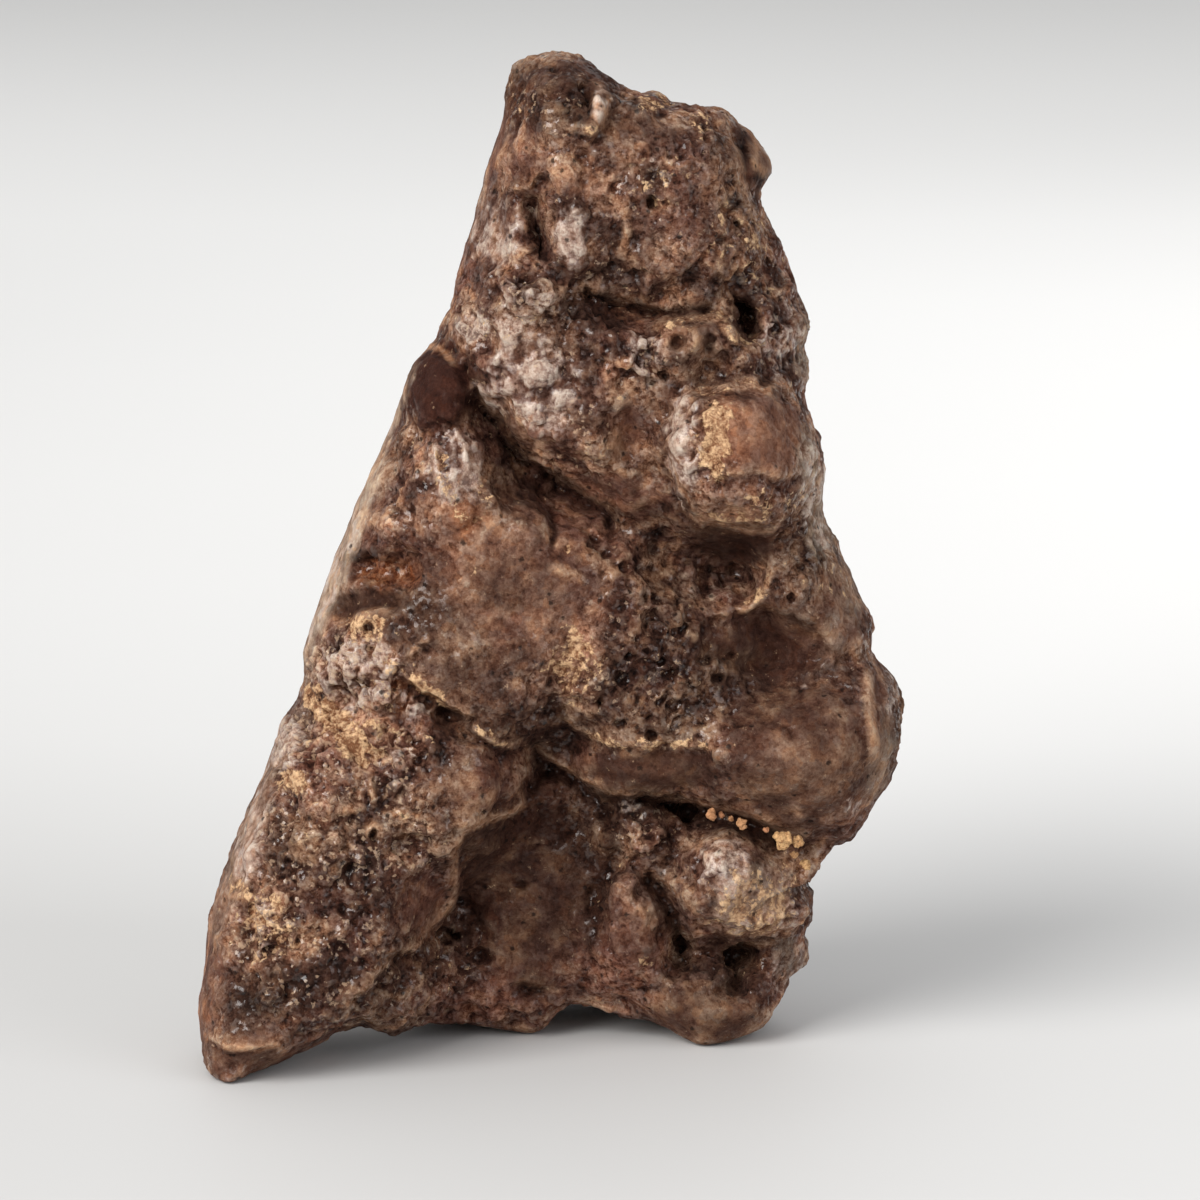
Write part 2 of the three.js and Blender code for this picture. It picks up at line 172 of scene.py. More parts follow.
def makeCamera(setting):
    # looks straight at the face plane: the lens is the sensor times the distance over the width
    aimHeight = (setting["up"] - setting["depth"] * tiltSin) / tiltCos
    aim = toFrame(np.array([[setting["across"], setting["depth"], aimHeight]]))[0]
    back = Vector(toViewer)
    data = bpy.data.cameras.new("camera")
    data.sensor_width = setting["sensor"]
    data.lens = setting["sensor"] * setting["distance"] / setting["width"]
    data.clip_start, data.clip_end = setting["clip"]
    camera = addObject("camera", data)
    camera.location = Vector(aim) + back * setting["distance"] * unit
    camera.rotation_euler = back.to_track_quat("Z", "Y").to_euler()
    bpy.context.scene.camera = camera
    return Vector(aim)


def colour(code):
    # a web colour to the linear numbers that shaders use
    parts = np.array([int(code[k:k + 2], 16) for k in (1, 3, 5)]) / 255
    linear = np.where(parts <= 0.04045, parts / 12.92, ((parts + 0.055) / 1.055) ** 2.4)
    return (*linear.tolist(), 1.0)


def shadeSmooth(mesh):
    mesh.polygons.foreach_set("use_smooth", np.ones(len(mesh.polygons), bool))


def makeMesh(name, points, faces):
    mesh = bpy.data.meshes.new(name)
    mesh.from_pydata(points.tolist(), [], faces)
    shadeSmooth(mesh)
    mesh.update()
    return mesh


def readFlat(items, name, width, kind):
    # one row of width numbers for each item
    flat = np.empty(len(items) * width, kind)
    items.foreach_get(name, flat)
    return flat.reshape(-1, width)


def pointsOf(mesh):
    return readFlat(mesh.vertices, "co", 3, np.float32).astype(float)


def normalsOf(mesh):
    return readFlat(mesh.vertex_normals, "vector", 3, np.float32).astype(float)


def movePoints(mesh, points):
    mesh.vertices.foreach_set("co", points.astype(np.float32).ravel())
    mesh.update()


def worked(mesh, kind, **settings):
    # the mesh as one modifier leaves it
    holder = addObject("holder", mesh)
    modifier = holder.modifiers.new("work", kind)
    for key, value in settings.items():
        setattr(modifier, key, value)
    graph = bpy.context.evaluated_depsgraph_get()
    result = bpy.data.meshes.new_from_object(holder.evaluated_get(graph))
    bpy.data.objects.remove(holder)
    bpy.data.meshes.remove(mesh)
    return result


def averaged(points, edges, rounds, share=0.6):
    # each point moved by share towards the mean of its neighbours, so many rounds over
    count = np.bincount(edges.ravel(), minlength=len(points)).astype(float)[:, None]
    ends, others = edges.ravel("F"), edges[:, ::-1].ravel("F")
    for _ in range(rounds):
        mean = np.stack([np.bincount(ends, points[others, k], len(points)) for k in range(3)], 1) / count
        points = points + share * (mean - points)
    return points


# the relief that is laid on the front, in millimetres on the face plane.
# plate: (height, softness of its edge, corners all round)
# ledge: (drop, reach, corners), the proud side on the left of its run
# groove and ridge: (depth or height, half width, corners)
# knob and pit: (across, up, half width, half height, turn, height or depth)
stoneRelief = {
    "plates": [
        (0.8, 0.5, [(-1.3, 69.4), (-0.3, 70.2), (0.9, 70.3), (1.8, 69.3), (2.0, 66), (2.3, 63), (1.8, 61.5),
            (0.4, 61.6), (-0.3, 63.5), (-0.6, 66), (-0.9, 68)]),
        (-0.9, 0.7, [(0.1, 72.9), (0.2, 75.2), (1.5, 76.2), (2.9, 75.9), (2.8, 74.6), (3.0, 73.7),
            (2.4, 72.9), (1.2, 73.2)]),
        (-1.6, 0.8, [(13.2, 74.6), (12.9, 73), (13.3, 71.5), (13.7, 70), (13.6, 68.9), (14.5, 68),
            (17.5, 68), (17.5, 74.6)]),
        (-0.9, 0.5, [(13.4, 71.9), (14.4, 71.9), (14.6, 70.6), (13.8, 70.3)]),
        (1.1, 0.5, [(-11.9, 54.5), (-11, 56), (-9.8, 56.4), (-8.6, 55.8), (-7.6, 54.5), (-7.1, 53),
            (-7.2, 51.5), (-7.8, 50.2), (-9.3, 50.2), (-10.8, 49.6), (-11.6, 50.5), (-12, 52.5)]),
        (-0.9, 1.4, [(4.0, 48.0), (3.9, 50), (4.6, 51.6), (5.6, 51.9), (6.3, 50.5), (6.4, 48.8),
            (5.8, 47.4), (4.8, 47.2)]),
        (-1.8, 0.7, [(12.3, 59.9), (14.2, 60.6), (15.6, 59.4), (15.8, 57), (15.2, 56.1), (14.2, 56.2),
            (13.4, 57), (12.8, 58)]),
        (0.6, 0.8, [(6.6, 57.2), (9, 58.2), (12, 58.5), (13.2, 57), (15.4, 56), (14.5, 54.2), (11.5, 53.4),
            (8.6, 53.5), (7, 54.6)]),
        (1.5, 1.6, [(8.4, 46), (10.0, 43.6), (11, 42.6), (14.5, 42.0), (16.3, 42.1), (17.4, 43.4),
            (20.5, 45.2), (21, 49), (19.6, 53.0), (16, 53.5), (12.5, 53.3), (9.2, 53.0), (7.9, 50)]),
        (-1.3, 0.6, [(-16.3, 38.8), (-15.9, 39.9), (-14.5, 40.8), (-12.5, 40.6), (-10.8, 40.5),
            (-10.2, 39.6), (-10.4, 38.8), (-11.5, 38), (-13.5, 37.9), (-15, 38.3), (-16, 37.9)]),
        (-0.6, 0.5, [(-17.3, 36.4), (-16.3, 37.6), (-15, 38.1), (-12.5, 37.8), (-11.8, 37.2), (-12, 36.1),
            (-13.5, 36.2), (-15, 36), (-16, 35.3), (-17.5, 35.2)]),
        (0.5, 0.9, [(-13.9, 33.5), (-13.6, 35.6), (-12.7, 35.9), (-12, 33.6)]),
        (-1.5, 0.6, [(-9.9, 28.3), (-9.2, 29.2), (-8.2, 28.7), (-6.2, 28.15), (-6.3, 27.7), (-7, 27.6),
            (-6.9, 27), (-5.5, 26.3), (-5.2, 25.8), (-7.5, 25.6), (-9, 26.6)]),
        (-1.0, 0.5, [(-12, 26.6), (-10.1, 26.6), (-10.2, 25.8), (-11.8, 25.8)]),
        (-1.2, 0.7, [(10.2, 33), (10.4, 34.5), (11.4, 35.8), (13, 36.1), (14.8, 36.2), (16, 36.8),
            (17.5, 36), (19, 35.5), (20.3, 34.6), (21.3, 32.5), (19.5, 31.6), (16, 31.2), (14, 31),
            (12.6, 32), (11, 32)]),
        (-1.2, 0.9, [(10.6, 39.6), (11.3, 40.1), (13, 39.6), (15, 40), (16.1, 39.4), (15.8, 38),
            (15.2, 37.1), (14.4, 36.6), (12.8, 36.8), (11, 37.4), (10.4, 38.4)]),
        (-1.0, 0.5, [(24.1, 31.7), (25.3, 31.3), (25.5, 30), (25.4, 27.4), (24.7, 28.2), (24.0, 29.8)]),
        (-1.3, 0.9, [(-2.7, 22), (-2.4, 24), (-1, 24.6), (0.2, 23.9), (2, 22.9), (3.4, 22), (3.4, 20.4),
            (2.2, 21), (0.4, 23.2), (-1.2, 22.8), (-2, 21.6)]),
        (0.9, 0.8, [(2.9, 11.8), (3, 14), (4, 15.5), (4.6, 16.4), (6, 16.3), (6.8, 15), (7.9, 13.7),
            (8.6, 12), (8.8, 10), (8.2, 8.9), (6.5, 8.6), (4.5, 8.8), (3.6, 10)]),
        (0.9, 0.9, [(9.3, 12), (9.4, 14), (9.9, 16), (11, 17.8), (13, 19), (16, 18.5), (17.8, 17.1),
            (19.3, 14.8), (19.4, 13), (18.8, 11.8), (17, 11.2), (15, 11.1), (13.5, 11.3), (12.3, 12),
            (10.8, 11.4)]),
        (-1.5, 0.6, [(12, 8.2), (12.3, 10), (13.6, 10.5), (15.6, 10), (15.2, 8.6), (14.4, 8), (14.3, 6.4),
            (13.1, 6.3), (12.9, 7.8)]),
        (0.5, 0.5, [(15.2, 7), (15.8, 9.6), (17.2, 10.6), (18.8, 10.6), (19.2, 9), (18, 7.2), (16.3, 6.2)]),
        (-1.0, 0.6, [(-23.9, 13.9), (-22.7, 13.9), (-22.6, 12.7), (-23.6, 12.6)]),
        (-0.7, 0.4, [(-23.9, 15.8), (-23.2, 15.6), (-23, 14.4), (-23.8, 14.5)]),
        (0.5, 0.5, [(-25, 17.8), (-24.2, 18.5), (-23.3, 18.8), (-22.9, 17.2), (-23.3, 16.2), (-24.5, 16.0),
            (-25.2, 16.8)]),
        (-1.3, 0.7, [(-10.2, 11.6), (-9.5, 12.2), (-8.2, 12.1), (-7.3, 11.2), (-8.2, 10.4), (-9.6, 10.5)]),
    ],
    "ledges": [
        (1.9, 2.0, [(-6.4, 53.4), (-5.8, 52), (-4.8, 50.8), (-4, 49.4), (-3, 48.3), (-1.4, 47.4),
            (-0.6, 46.6), (0.4, 46), (1.5, 45.2), (2.6, 44.6), (4, 43.6), (4.6, 42.6), (5.6, 42.2)]),
        (2.0, 1.5, [(8.2, 48.5), (8.8, 46), (9.9, 44), (10.7, 42.9), (13, 42.3), (14.6, 42.0), (16.2, 42.1),
            (17.2, 43.3), (18.4, 44.6), (19.4, 46)]),
        (0.9, 0.9, [(17.6, 53.2), (16, 53.4), (14, 53.5), (12.4, 53.2), (10.8, 52.8), (9.4, 52.8)]),
        (1.3, 0.9, [(14.5, 68.0), (13.7, 69), (13.7, 70), (13.4, 71.3), (13.0, 72.5), (12.9, 74.3)]),
        (0.8, 0.8, [(12.5, 61), (12.3, 63), (12.5, 64.6), (12.4, 66), (12.7, 67.4), (13.6, 68.8)]),
        (0.7, 0.8, [(0.2, 72.6), (1.6, 72.4), (2.4, 71.9), (3.2, 72.7), (3.5, 74), (4.2, 75.4)]),
        (0.6, 0.9, [(5.6, 42.1), (6.8, 42.5), (8, 42.9), (9.2, 43.1)]),
        (2.2, 1.2, [(-11.9, 31.5), (-11, 30.5), (-10, 30), (-9.2, 29.4), (-8.6, 28.9), (-7.2, 28.3),
            (-6.2, 28.1)]),
        (1.9, 1.2, [(-6.9, 27.9), (-6.6, 27), (-5.6, 26.5), (-4.8, 25.9), (-3.9, 25.7), (-3.2, 25.9),
            (-2.4, 26.6)]),
        (0.8, 1.6, [(-0.4, 29.5), (0.6, 28.5), (1.2, 27.2), (2, 26.6), (3.5, 26), (5, 25.7), (7, 25.6),
            (8, 26), (10, 25.7), (12.3, 25.5)]),
        (2.4, 1.4, [(-2.2, 26.3), (-1.2, 25), (0.5, 24), (2, 22.9), (3.5, 22.1), (7, 22), (9, 21.5),
            (11, 21.2), (13, 20.8), (15, 20.1), (16.8, 19.3), (18.5, 18)]),
        (1.8, 2.4, [(-16.2, 4.5), (-16, 6), (-15.2, 7), (-13.8, 8.4), (-12.6, 9.8), (-11, 10.4),
            (-10.2, 11.4), (-9.2, 12.6), (-8.2, 13.9), (-7.9, 15), (-8, 16.5), (-7.8, 18), (-7, 19.4),
            (-6, 19.9), (-4, 20.5), (-2.8, 21.1), (-3, 22.5), (-2.4, 24.5), (-2.2, 26.6)]),
        (0.9, 1.4, [(-5.2, 68.5), (-4.4, 68), (-3.2, 67.9), (-2.3, 68.2), (-1.5, 69), (-1, 69.8)]),
        (0.9, 1.6, [(1.3, 60.9), (2.4, 60.2), (4, 59.7), (5.5, 59.4), (6.5, 59), (7.6, 58.8), (9, 58.9),
            (12, 59.3)]),
        (0.9, 1.2, [(-14.6, 24.1), (-15.2, 24.8), (-16.2, 25.6), (-17, 26.4), (-17.8, 27.8), (-18.6, 28.8),
            (-19.3, 29.8)]),
        (0.6, 1.0, [(-17.8, 35.2), (-16, 35.4), (-14.8, 36.1), (-13, 36.2), (-12, 36)][::-1]),
        (0.7, 1.0, [(-20.9, 18), (-20.3, 17.5), (-19.4, 17.1), (-18.4, 17)]),
        (0.5, 1.0, [(12.2, 12), (12.8, 11.4), (13.8, 11.1), (15.5, 11.2), (17.2, 11.1), (18.6, 11.3)]),
        (0.7, 0.8, [(13.6, 10.4), (15.7, 10.1), (16.7, 10.4), (17.6, 10.9), (18.4, 11)]),
        (0.5, 1.5, [(-27.4, 4), (-26, 3.2), (-24.8, 2.8), (-23, 2.7), (-21.8, 2.9), (-20.5, 2.6)]),
        (0.7, 1.4, [(-3.8, 7.7), (-2.5, 7.2), (-1.2, 6.7), (0.2, 6.4)]),
        (0.4, 1.2, [(9.6, 53), (11, 52.5), (12.8, 52.9), (15, 53.3)]),
        (0.9, 1.0, [(11.2, 45.6), (13, 46.4), (15, 46.6), (16.5, 46.1), (18.8, 46.6)]),
    ],
    "grooves": [
        (1.1, 0.5, [(-7.3, 55.6), (-6.4, 53.8), (-5.9, 52.4), (-5.4, 51.4)]),
        (2.0, 1.0, [(-5.9, 52.2), (-5, 50.8), (-4, 49.3), (-3, 48.1), (-1.6, 47.1)]),
        (1.2, 0.6, [(-1.6, 47.1), (0.2, 45.9), (2.2, 44.6), (3.8, 43.4), (4.6, 42.4)]),
        (1.6, 0.9, [(-2.2, 68), (-1.9, 66.5), (-1.6, 64.6), (-1.3, 62.2)]),
        (0.9, 0.45, [(1.3, 60.8), (2.4, 60.1), (4, 59.6), (5.5, 59.3), (6.5, 58.9), (7.6, 58.7), (9, 58.8),
            (12, 59.2)]),
        (0.7, 0.35, [(-0.8, 44.2), (-0.6, 43), (-0.3, 42.2), (-0.6, 41), (-1, 40.2)]),
        (1.4, 0.9, [(3, 21.4), (3.7, 20), (4, 18.5), (3.9, 17), (3.4, 15.6), (2.7, 14.6), (2.5, 13),
            (2.6, 11.8)]),
        (1.2, 0.7, [(6, 16.1), (7.1, 15), (8.1, 13.8), (8.9, 12.2), (9.2, 10.5), (9.4, 9), (9.2, 8)]),
        (1.3, 0.8, [(5, 21.8), (8, 21.4), (10, 20.6), (12, 20.2), (14, 19.7), (16, 18.9), (17.6, 18)]),
        (0.7, 0.4, [(-3.8, 7.6), (-2, 7), (-0.5, 6.5)]),
        (0.8, 0.5, [(16, 63.2), (16.4, 62), (16.8, 61)]),
        (0.5, 0.25, [(-15.4, 33.7), (-14.8, 33.3), (-14.1, 33)]),
        (0.6, 0.3, [(13, 65.9), (13.4, 65.2), (13.8, 64.6)]),
        (0.5, 0.3, [(8.8, 45.2), (9.6, 44), (10.6, 42.8)]),
        (0.6, 0.4, [(-2.1, 27.2), (-2.1, 26.3), (-1.9, 25.4)]),
        (0.6, 0.5, [(-13.4, 9), (-12.4, 9.8), (-11.2, 9.9)]),
        (0.25, 0.3, [(15.8, 27.6), (17.3, 27), (18.5, 25.8)]),
        (0.5, 0.4, [(-11, 33.4), (-10.4, 33.3), (-9.6, 33)]),
    ],
    "ridges": [
        (0.35, 0.25, [(-12.1, 52), (-11.9, 54.4), (-11, 55.9), (-9.9, 56.4), (-8.7, 55.8), (-7.7, 54.6)]),
        (0.5, 0.3, [(14.5, 73.9), (14.9, 72.6), (15.1, 71.4), (14.9, 70.3), (15.6, 69.5), (16.2, 69.9)]),
        (1.1, 0.42, [(3, 75.6), (2.85, 74.6), (3.05, 73.8), (2.8, 73.1), (2.2, 72.7)]),
        (0.7, 0.4, [(4.4, 75.6), (5.5, 76), (7, 75.9), (7.9, 75.2), (8.1, 74.3)]),
        (0.45, 0.3, [(-1.2, 69.5), (-0.3, 70.2), (0.8, 70.3), (1.7, 69.6), (1.9, 68.6)]),
        (0.35, 0.4, [(5, 67.4), (5.1, 65), (4.8, 62.5)]),
        (0.6, 0.4, [(6.8, 57.3), (8, 57.9), (9.5, 58.2), (11, 58.3), (12, 58.4), (12.7, 57.6), (13.4, 56.7),
            (14.4, 56.1), (15.6, 56)]),
        (0.5, 0.4, [(10.1, 57.9), (10.2, 56.5), (10.0, 55.2)]),
        (0.45, 0.35, [(-1.2, 39.3), (0, 39.3), (1.2, 38.8), (2.3, 38.1)]),
        (0.6, 0.35, [(16.4, 39.6), (16, 38.7), (15.8, 38), (15.3, 37.1), (14.7, 36.5), (14, 36.3),
            (13, 36.2)]),
        (0.5, 0.3, [(-11.9, 32), (-11, 33), (-10.3, 33.7), (-9.6, 34.4)]),
        (0.45, 0.3, [(-27.4, 4), (-26, 3.3), (-24.8, 2.9), (-23, 2.8), (-21.8, 3), (-20.6, 2.6)]),
        (0.6, 0.4, [(-9.6, 49.3), (-9.4, 47), (-8.8, 45), (-8.3, 44.2)]),
        (0.5, 0.4, [(-7.2, 49.4), (-7, 47.5), (-6.8, 46)]),
        (0.4, 0.4, [(4, 50.9), (4.5, 51.9), (5.6, 52.3)]),
        (0.35, 0.3, [(4, 47.2), (5, 46.6), (6.6, 46.8)]),
        (0.4, 0.3, [(-8, 20), (-6.5, 19.6), (-5.6, 20), (-4, 20.5), (-2.6, 21.1)]),
        (0.35, 0.3, [(-14, 20.6), (-12.3, 20.5), (-10.2, 20.5), (-9.5, 20.2)]),
        (0.35, 0.3, [(-14.3, 24), (-14.3, 22.5), (-14.2, 20.8)]),
        (0.35, 0.3, [(-17.5, 20.6), (-15.6, 21), (-14.8, 21.6)]),
        (0.5, 0.35, [(-14.6, 7.9), (-13.6, 6.9), (-12, 6.6), (-10.9, 7.3), (-10.6, 8.3), (-11.1, 8.8)]),
        (0.3, 0.25, [(-18, 16.3), (-17, 16.8), (-16, 17.2)]),
        (0.45, 0.35, [(13.2, 69), (14, 67.5), (15, 66), (16, 64.4)]),
        (0.35, 0.3, [(12.6, 67), (13.6, 66.2), (14.6, 64.8), (15.4, 63.4)]),
        (0.3, 0.25, [(17.5, 21.3), (18.6, 20.2)]),
        (0.35, 0.3, [(12, 43.7), (13.2, 43.9), (14.8, 43.6)]),
        (0.4, 0.3, [(-9.4, 58), (-8.5, 58.5), (-7.6, 58.3), (-6.6, 58.5)]),
        (0.4, 0.35, [(4.2, 25.8), (5, 25.2), (7, 25.1)]),
        (0.3, 0.25, [(6, 40), (7.5, 39.8), (8, 40.6)]),
        (0.5, 0.5, [(23.6, 32), (23.8, 28), (24.2, 24)]),
        (0.5, 0.4, [(-15.8, 34.6), (-15.3, 35.4), (-14.4, 35.7), (-13.8, 35.2)]),
        (0.35, 0.3, [(-14.6, 18.6), (-14.65, 19.3), (-14.2, 19.9), (-13.75, 19.3), (-13.8, 18.6),
            (-14.2, 18.3)]),
        (0.4, 0.35, [(-26, 14.2), (-24.5, 14.3), (-23, 14.2)]),
    ],
    "knobs": [
        (3.6, 75, 0.95, 0.9, 0, 1.1), (2.2, 72.2, 0.7, 0.6, 0, 0.9), (1.2, 72.8, 0.4, 0.35, 0, 0.4),
        (7.1, 75, 0.8, 0.7, 0, 0.6), (0.2, 68, 0.5, 0.5, 0, 0.35), (1.1, 67.2, 0.6, 0.5, 0, 0.4),
        (0.9, 66.4, 0.5, 0.4, 0, 0.3), (1.3, 64.8, 0.45, 0.4, 0, 0.35), (3.3, 61.7, 0.7, 0.6, 0, 0.4),
        (3.9, 62.5, 0.5, 0.5, 0, 0.3), (2.3, 62, 0.6, 0.6, 0, 0.3), (6.9, 69.6, 0.9, 0.8, 0, 0.35),
        (9, 69.6, 0.9, 0.8, 0, 0.3), (10.8, 73, 0.9, 0.8, 0, 0.3), (-3, 75, 1.2, 1.0, 0, 0.4),
        (-2.1, 59.8, 2.7, 1.4, -22, 1.2), (-6.8, 57.3, 1.2, 1.1, 0, 0.8), (-8.8, 57.7, 0.9, 0.8, 0, 0.6),
        (6.6, 56.3, 0.75, 0.75, 0, 0.6), (5.4, 55, 0.6, 0.6, 0, 0.4), (6.2, 54.4, 0.7, 0.6, 0, 0.4),
        (-0.8, 56.5, 1.0, 0.9, 0, 0.6), (-5.5, 54.6, 1.2, 1.0, 30, 0.6), (-4.5, 53, 1.1, 0.9, 0, 0.5),
        (-2.6, 49.8, 1.1, 0.8, -20, 0.7), (-1.9, 51.3, 0.9, 0.8, 0, 0.5), (0.3, 52.2, 1.0, 0.9, 0, 0.5),
        (-1.2, 54, 1.2, 1.0, 0, 0.5), (0.6, 49.4, 1.1, 0.9, 0, 0.5), (2.4, 50.6, 1.1, 1.2, 0, 0.5),
        (3.2, 47.8, 1.5, 1.2, -30, 0.5), (1.8, 54.4, 1.1, 1, 0, 0.4), (9, 52, 0.8, 0.7, 0, 0.5),
        (8.7, 50.4, 0.7, 0.8, 0, 0.5), (8.7, 48.5, 0.9, 1.0, 0, 0.6), (9.4, 46.8, 0.8, 0.8, 0, 0.4),
        (15.1, 44.3, 0.8, 0.6, 0, 0.4), (-7.0, 52.0, 0.25, 0.25, 0, 0.3), (-6.2, 48.6, 0.6, 0.6, 0, 0.5),
        (-8, 46.4, 0.7, 0.7, 0, 0.4), (-7.2, 43.3, 0.9, 1.0, 0, 0.4), (-11.9, 36.1, 0.4, 0.35, 0, 0.4),
        (-13.3, 29.7, 1.0, 0.9, 0, 0.6), (-11, 29.2, 1.1, 0.9, 0, 0.6), (-16.8, 31.4, 1.3, 1.1, 0, 0.5),
        (-17.6, 33, 1.1, 1.0, 0, 0.4), (-14.8, 31.6, 1.0, 0.9, 0, 0.4), (-15.3, 29.6, 1.0, 0.8, 0, 0.4),
        (-14.2, 25.6, 0.8, 0.7, 0, 0.5), (-13, 25.6, 0.9, 0.8, 0, 0.4), (-12.3, 26.3, 0.5, 0.4, 0, 0.4),
        (-9.8, 25.9, 0.5, 1.0, 35, 0.5), (-12.6, 22.5, 0.6, 1.1, 0, 0.5), (-11.2, 19.3, 0.7, 0.8, 0, 0.5),
        (-15.1, 17.3, 0.3, 0.7, 0, 0.4), (-13, 17.2, 0.5, 0.6, 0, 0.4), (-9.9, 14.6, 0.6, 0.6, 0, 0.4),
        (-23.2, 19.8, 0.6, 1.1, 15, 0.4), (-22.6, 21.8, 0.9, 0.6, 0, 0.4), (-20.8, 23.8, 1.3, 0.8, 0, 0.5),
        (-22.9, 11.3, 0.6, 1.3, 0, 0.5), (-25, 12, 1.1, 1.0, 0, 0.4), (-21, 16.4, 0.6, 1.5, 10, 0.5),
        (-26.2, 1.3, 0.9, 0.9, 0, 0.4), (-0.2, 21.9, 1.6, 1.1, 0, 0.7), (5.3, 20.5, 1.6, 1.3, 0, 0.6),
        (8.3, 19.4, 1.5, 1.2, 0, 0.5), (6.6, 18.6, 1.3, 1.2, 0, 0.4), (5.2, 16.3, 0.8, 0.45, 0, 0.4),
        (5.5, 14, 0.6, 1.6, 0, 0.35), (6.4, 13.2, 0.4, 1.2, 0, 0.3), (12.3, 17.3, 1.0, 1.1, 0, 0.4),
        (14.3, 17.4, 1.0, 0.9, 0, 0.4), (13.9, 14, 1.6, 1.6, 0, 0.4), (13, 12.6, 1.2, 0.8, 0, 0.35),
        (16.6, 13.2, 1.6, 1.4, 0, 0.35), (10.4, 14.4, 1.2, 1.6, 0, 0.35), (16.3, 9.3, 0.9, 0.9, 0, 0.4),
        (15.2, 7.1, 0.9, 0.9, 0, 0.4), (15.2, 5.2, 1.2, 0.9, 0, 0.35), (-2.4, 4.9, 2.3, 1.6, 0, 0.6),
        (25.9, 29, 0.6, 3.4, 0, 0.5), (22.7, 20.9, 0.35, 0.8, 0, 0.25), (9.6, 65, 2.2, 2.4, 0, 0.3),
        (5, 71, 2.2, 2, 0, 0.3), (11, 70.5, 1.8, 2, 0, 0.3), (8, 62.5, 2.4, 1.8, 0, 0.35),
        (17.6, 56.8, 1.1, 1.6, 0, 0.4), (17.2, 59.4, 1.2, 1.0, 0, 0.4), (18.6, 54.6, 0.6, 1.4, 0, 0.4),
        (-3.2, 61.9, 0.8, 0.6, 0, 0.4), (-7.4, 30.9, 1.4, 1.2, 0, 0.2),
    ],
    "pits": [
        (-0.3, 77.1, 0.45, 0.35, 0, 0.8), (5.6, 74.6, 0.5, 0.55, 0, 1.2), (7.5, 73.6, 0.6, 0.4, 20, 0.9),
        (6.9, 67, 0.3, 0.6, -10, 0.9), (13.3, 66.9, 0.5, 0.45, 0, 1.0), (12.2, 64.2, 0.5, 0.4, 0, 0.9),
        (15.9, 62.4, 0.5, 0.9, 10, 1.0), (16.8, 61.2, 0.9, 0.5, -20, 1.2), (13.3, 60.2, 0.6, 0.4, 0, 0.9),
        (7.9, 53.8, 0.45, 0.4, 0, 1.3), (7.1, 53.4, 0.5, 0.35, 0, 0.8), (15.7, 53.4, 0.7, 0.35, 0, 0.9),
        (8.9, 56.5, 0.8, 0.9, 0, 0.9), (11.3, 56.4, 0.6, 1.0, 0, 0.9), (14.1, 58.4, 1.3, 1.9, 10, 1.7),
        (13.9, 71.3, 0.7, 1.2, 0, 0.6), (3.6, 75, 0.3, 0.3, 0, 0.4), (-14.6, 34.8, 0.6, 0.45, -30, 1.2),
        (17.5, 60.8, 0.6, 0.3, 0, 0.7), (16.4, 57.4, 0.5, 0.5, 0, 0.8), (17.6, 55.4, 0.4, 0.5, 0, 0.7),
        (15.4, 62.8, 0.4, 0.5, 0, 0.7), (-14.2, 19.1, 0.3, 0.5, 0, 0.9), (-10.8, 24.8, 0.4, 0.35, 0, 0.7),
        (-8.8, 11.1, 1.1, 0.7, 0, 0.8), (0.5, 40.8, 0.3, 0.3, 0, 0.6), (7, 40.8, 0.6, 0.8, 0, 0.8),
        (5, 39.4, 0.4, 0.4, 0, 0.6), (7.4, 37, 0.5, 0.5, 0, 0.8), (6.5, 37, 0.25, 0.5, 0, 0.6),
        (8.8, 36.8, 0.3, 0.5, 0, 0.6), (9.3, 34.8, 0.35, 0.7, -20, 0.7), (7.5, 34.4, 0.7, 0.45, 20, 0.8),
        (5.3, 32.8, 0.5, 0.45, 0, 0.9), (6.5, 33, 0.4, 0.35, 0, 0.7), (7.7, 32.2, 0.4, 0.4, 0, 0.6),
        (8.4, 31.2, 0.7, 0.5, 20, 1.0), (4.8, 30.7, 0.5, 0.5, 0, 0.6), (3.1, 29.2, 0.5, 0.7, 0, 0.8),
        (6.8, 28, 0.4, 0.4, 0, 0.8), (7.1, 26.7, 0.6, 0.6, 0, 0.9), (4.6, 27.4, 0.6, 0.4, 20, 0.8),
        (8.5, 28.5, 0.3, 0.4, 0, 0.6), (10.8, 27.5, 0.5, 0.4, 0, 0.7), (12, 31, 0.5, 0.45, 0, 0.9),
        (11, 32.3, 0.7, 0.5, 0, 0.9), (13.1, 32.8, 0.5, 0.4, 0, 0.6), (12.3, 30.1, 0.4, 0.3, 0, 0.6),
        (10.2, 33.5, 0.35, 0.4, 0, 0.7), (9, 29.2, 0.4, 0.3, 0, 0.6), (11.3, 38.9, 0.5, 1.0, 0, 0.6),
        (15, 38.3, 0.5, 0.9, 0, 0.5), (18.3, 39.3, 0.4, 0.4, 0, 0.6), (17.7, 37, 0.4, 0.4, 0, 0.5),
        (-7, 17.5, 1.1, 0.9, 0, 0.6), (-1.7, 18.1, 0.4, 0.2, 0, 0.5), (-2.9, 15, 0.7, 0.6, 0, 0.5),
        (-1.8, 15.3, 0.5, 0.4, 0, 0.4), (4, 10, 0.35, 0.35, 0, 0.6), (6.5, 6.9, 0.5, 0.35, 0, 0.5),
        (-13.3, 7.7, 0.8, 0.4, 0, 0.8), (-11.8, 8, 0.35, 0.4, 0, 0.6), (-24.9, 1.5, 0.7, 0.5, 0, 0.6),
        (-21.3, 2, 0.35, 0.2, 0, 0.5), (-16.3, 4.7, 0.2, 0.5, -20, 0.6), (-21.8, 10.4, 0.3, 0.3, 0, 0.5),
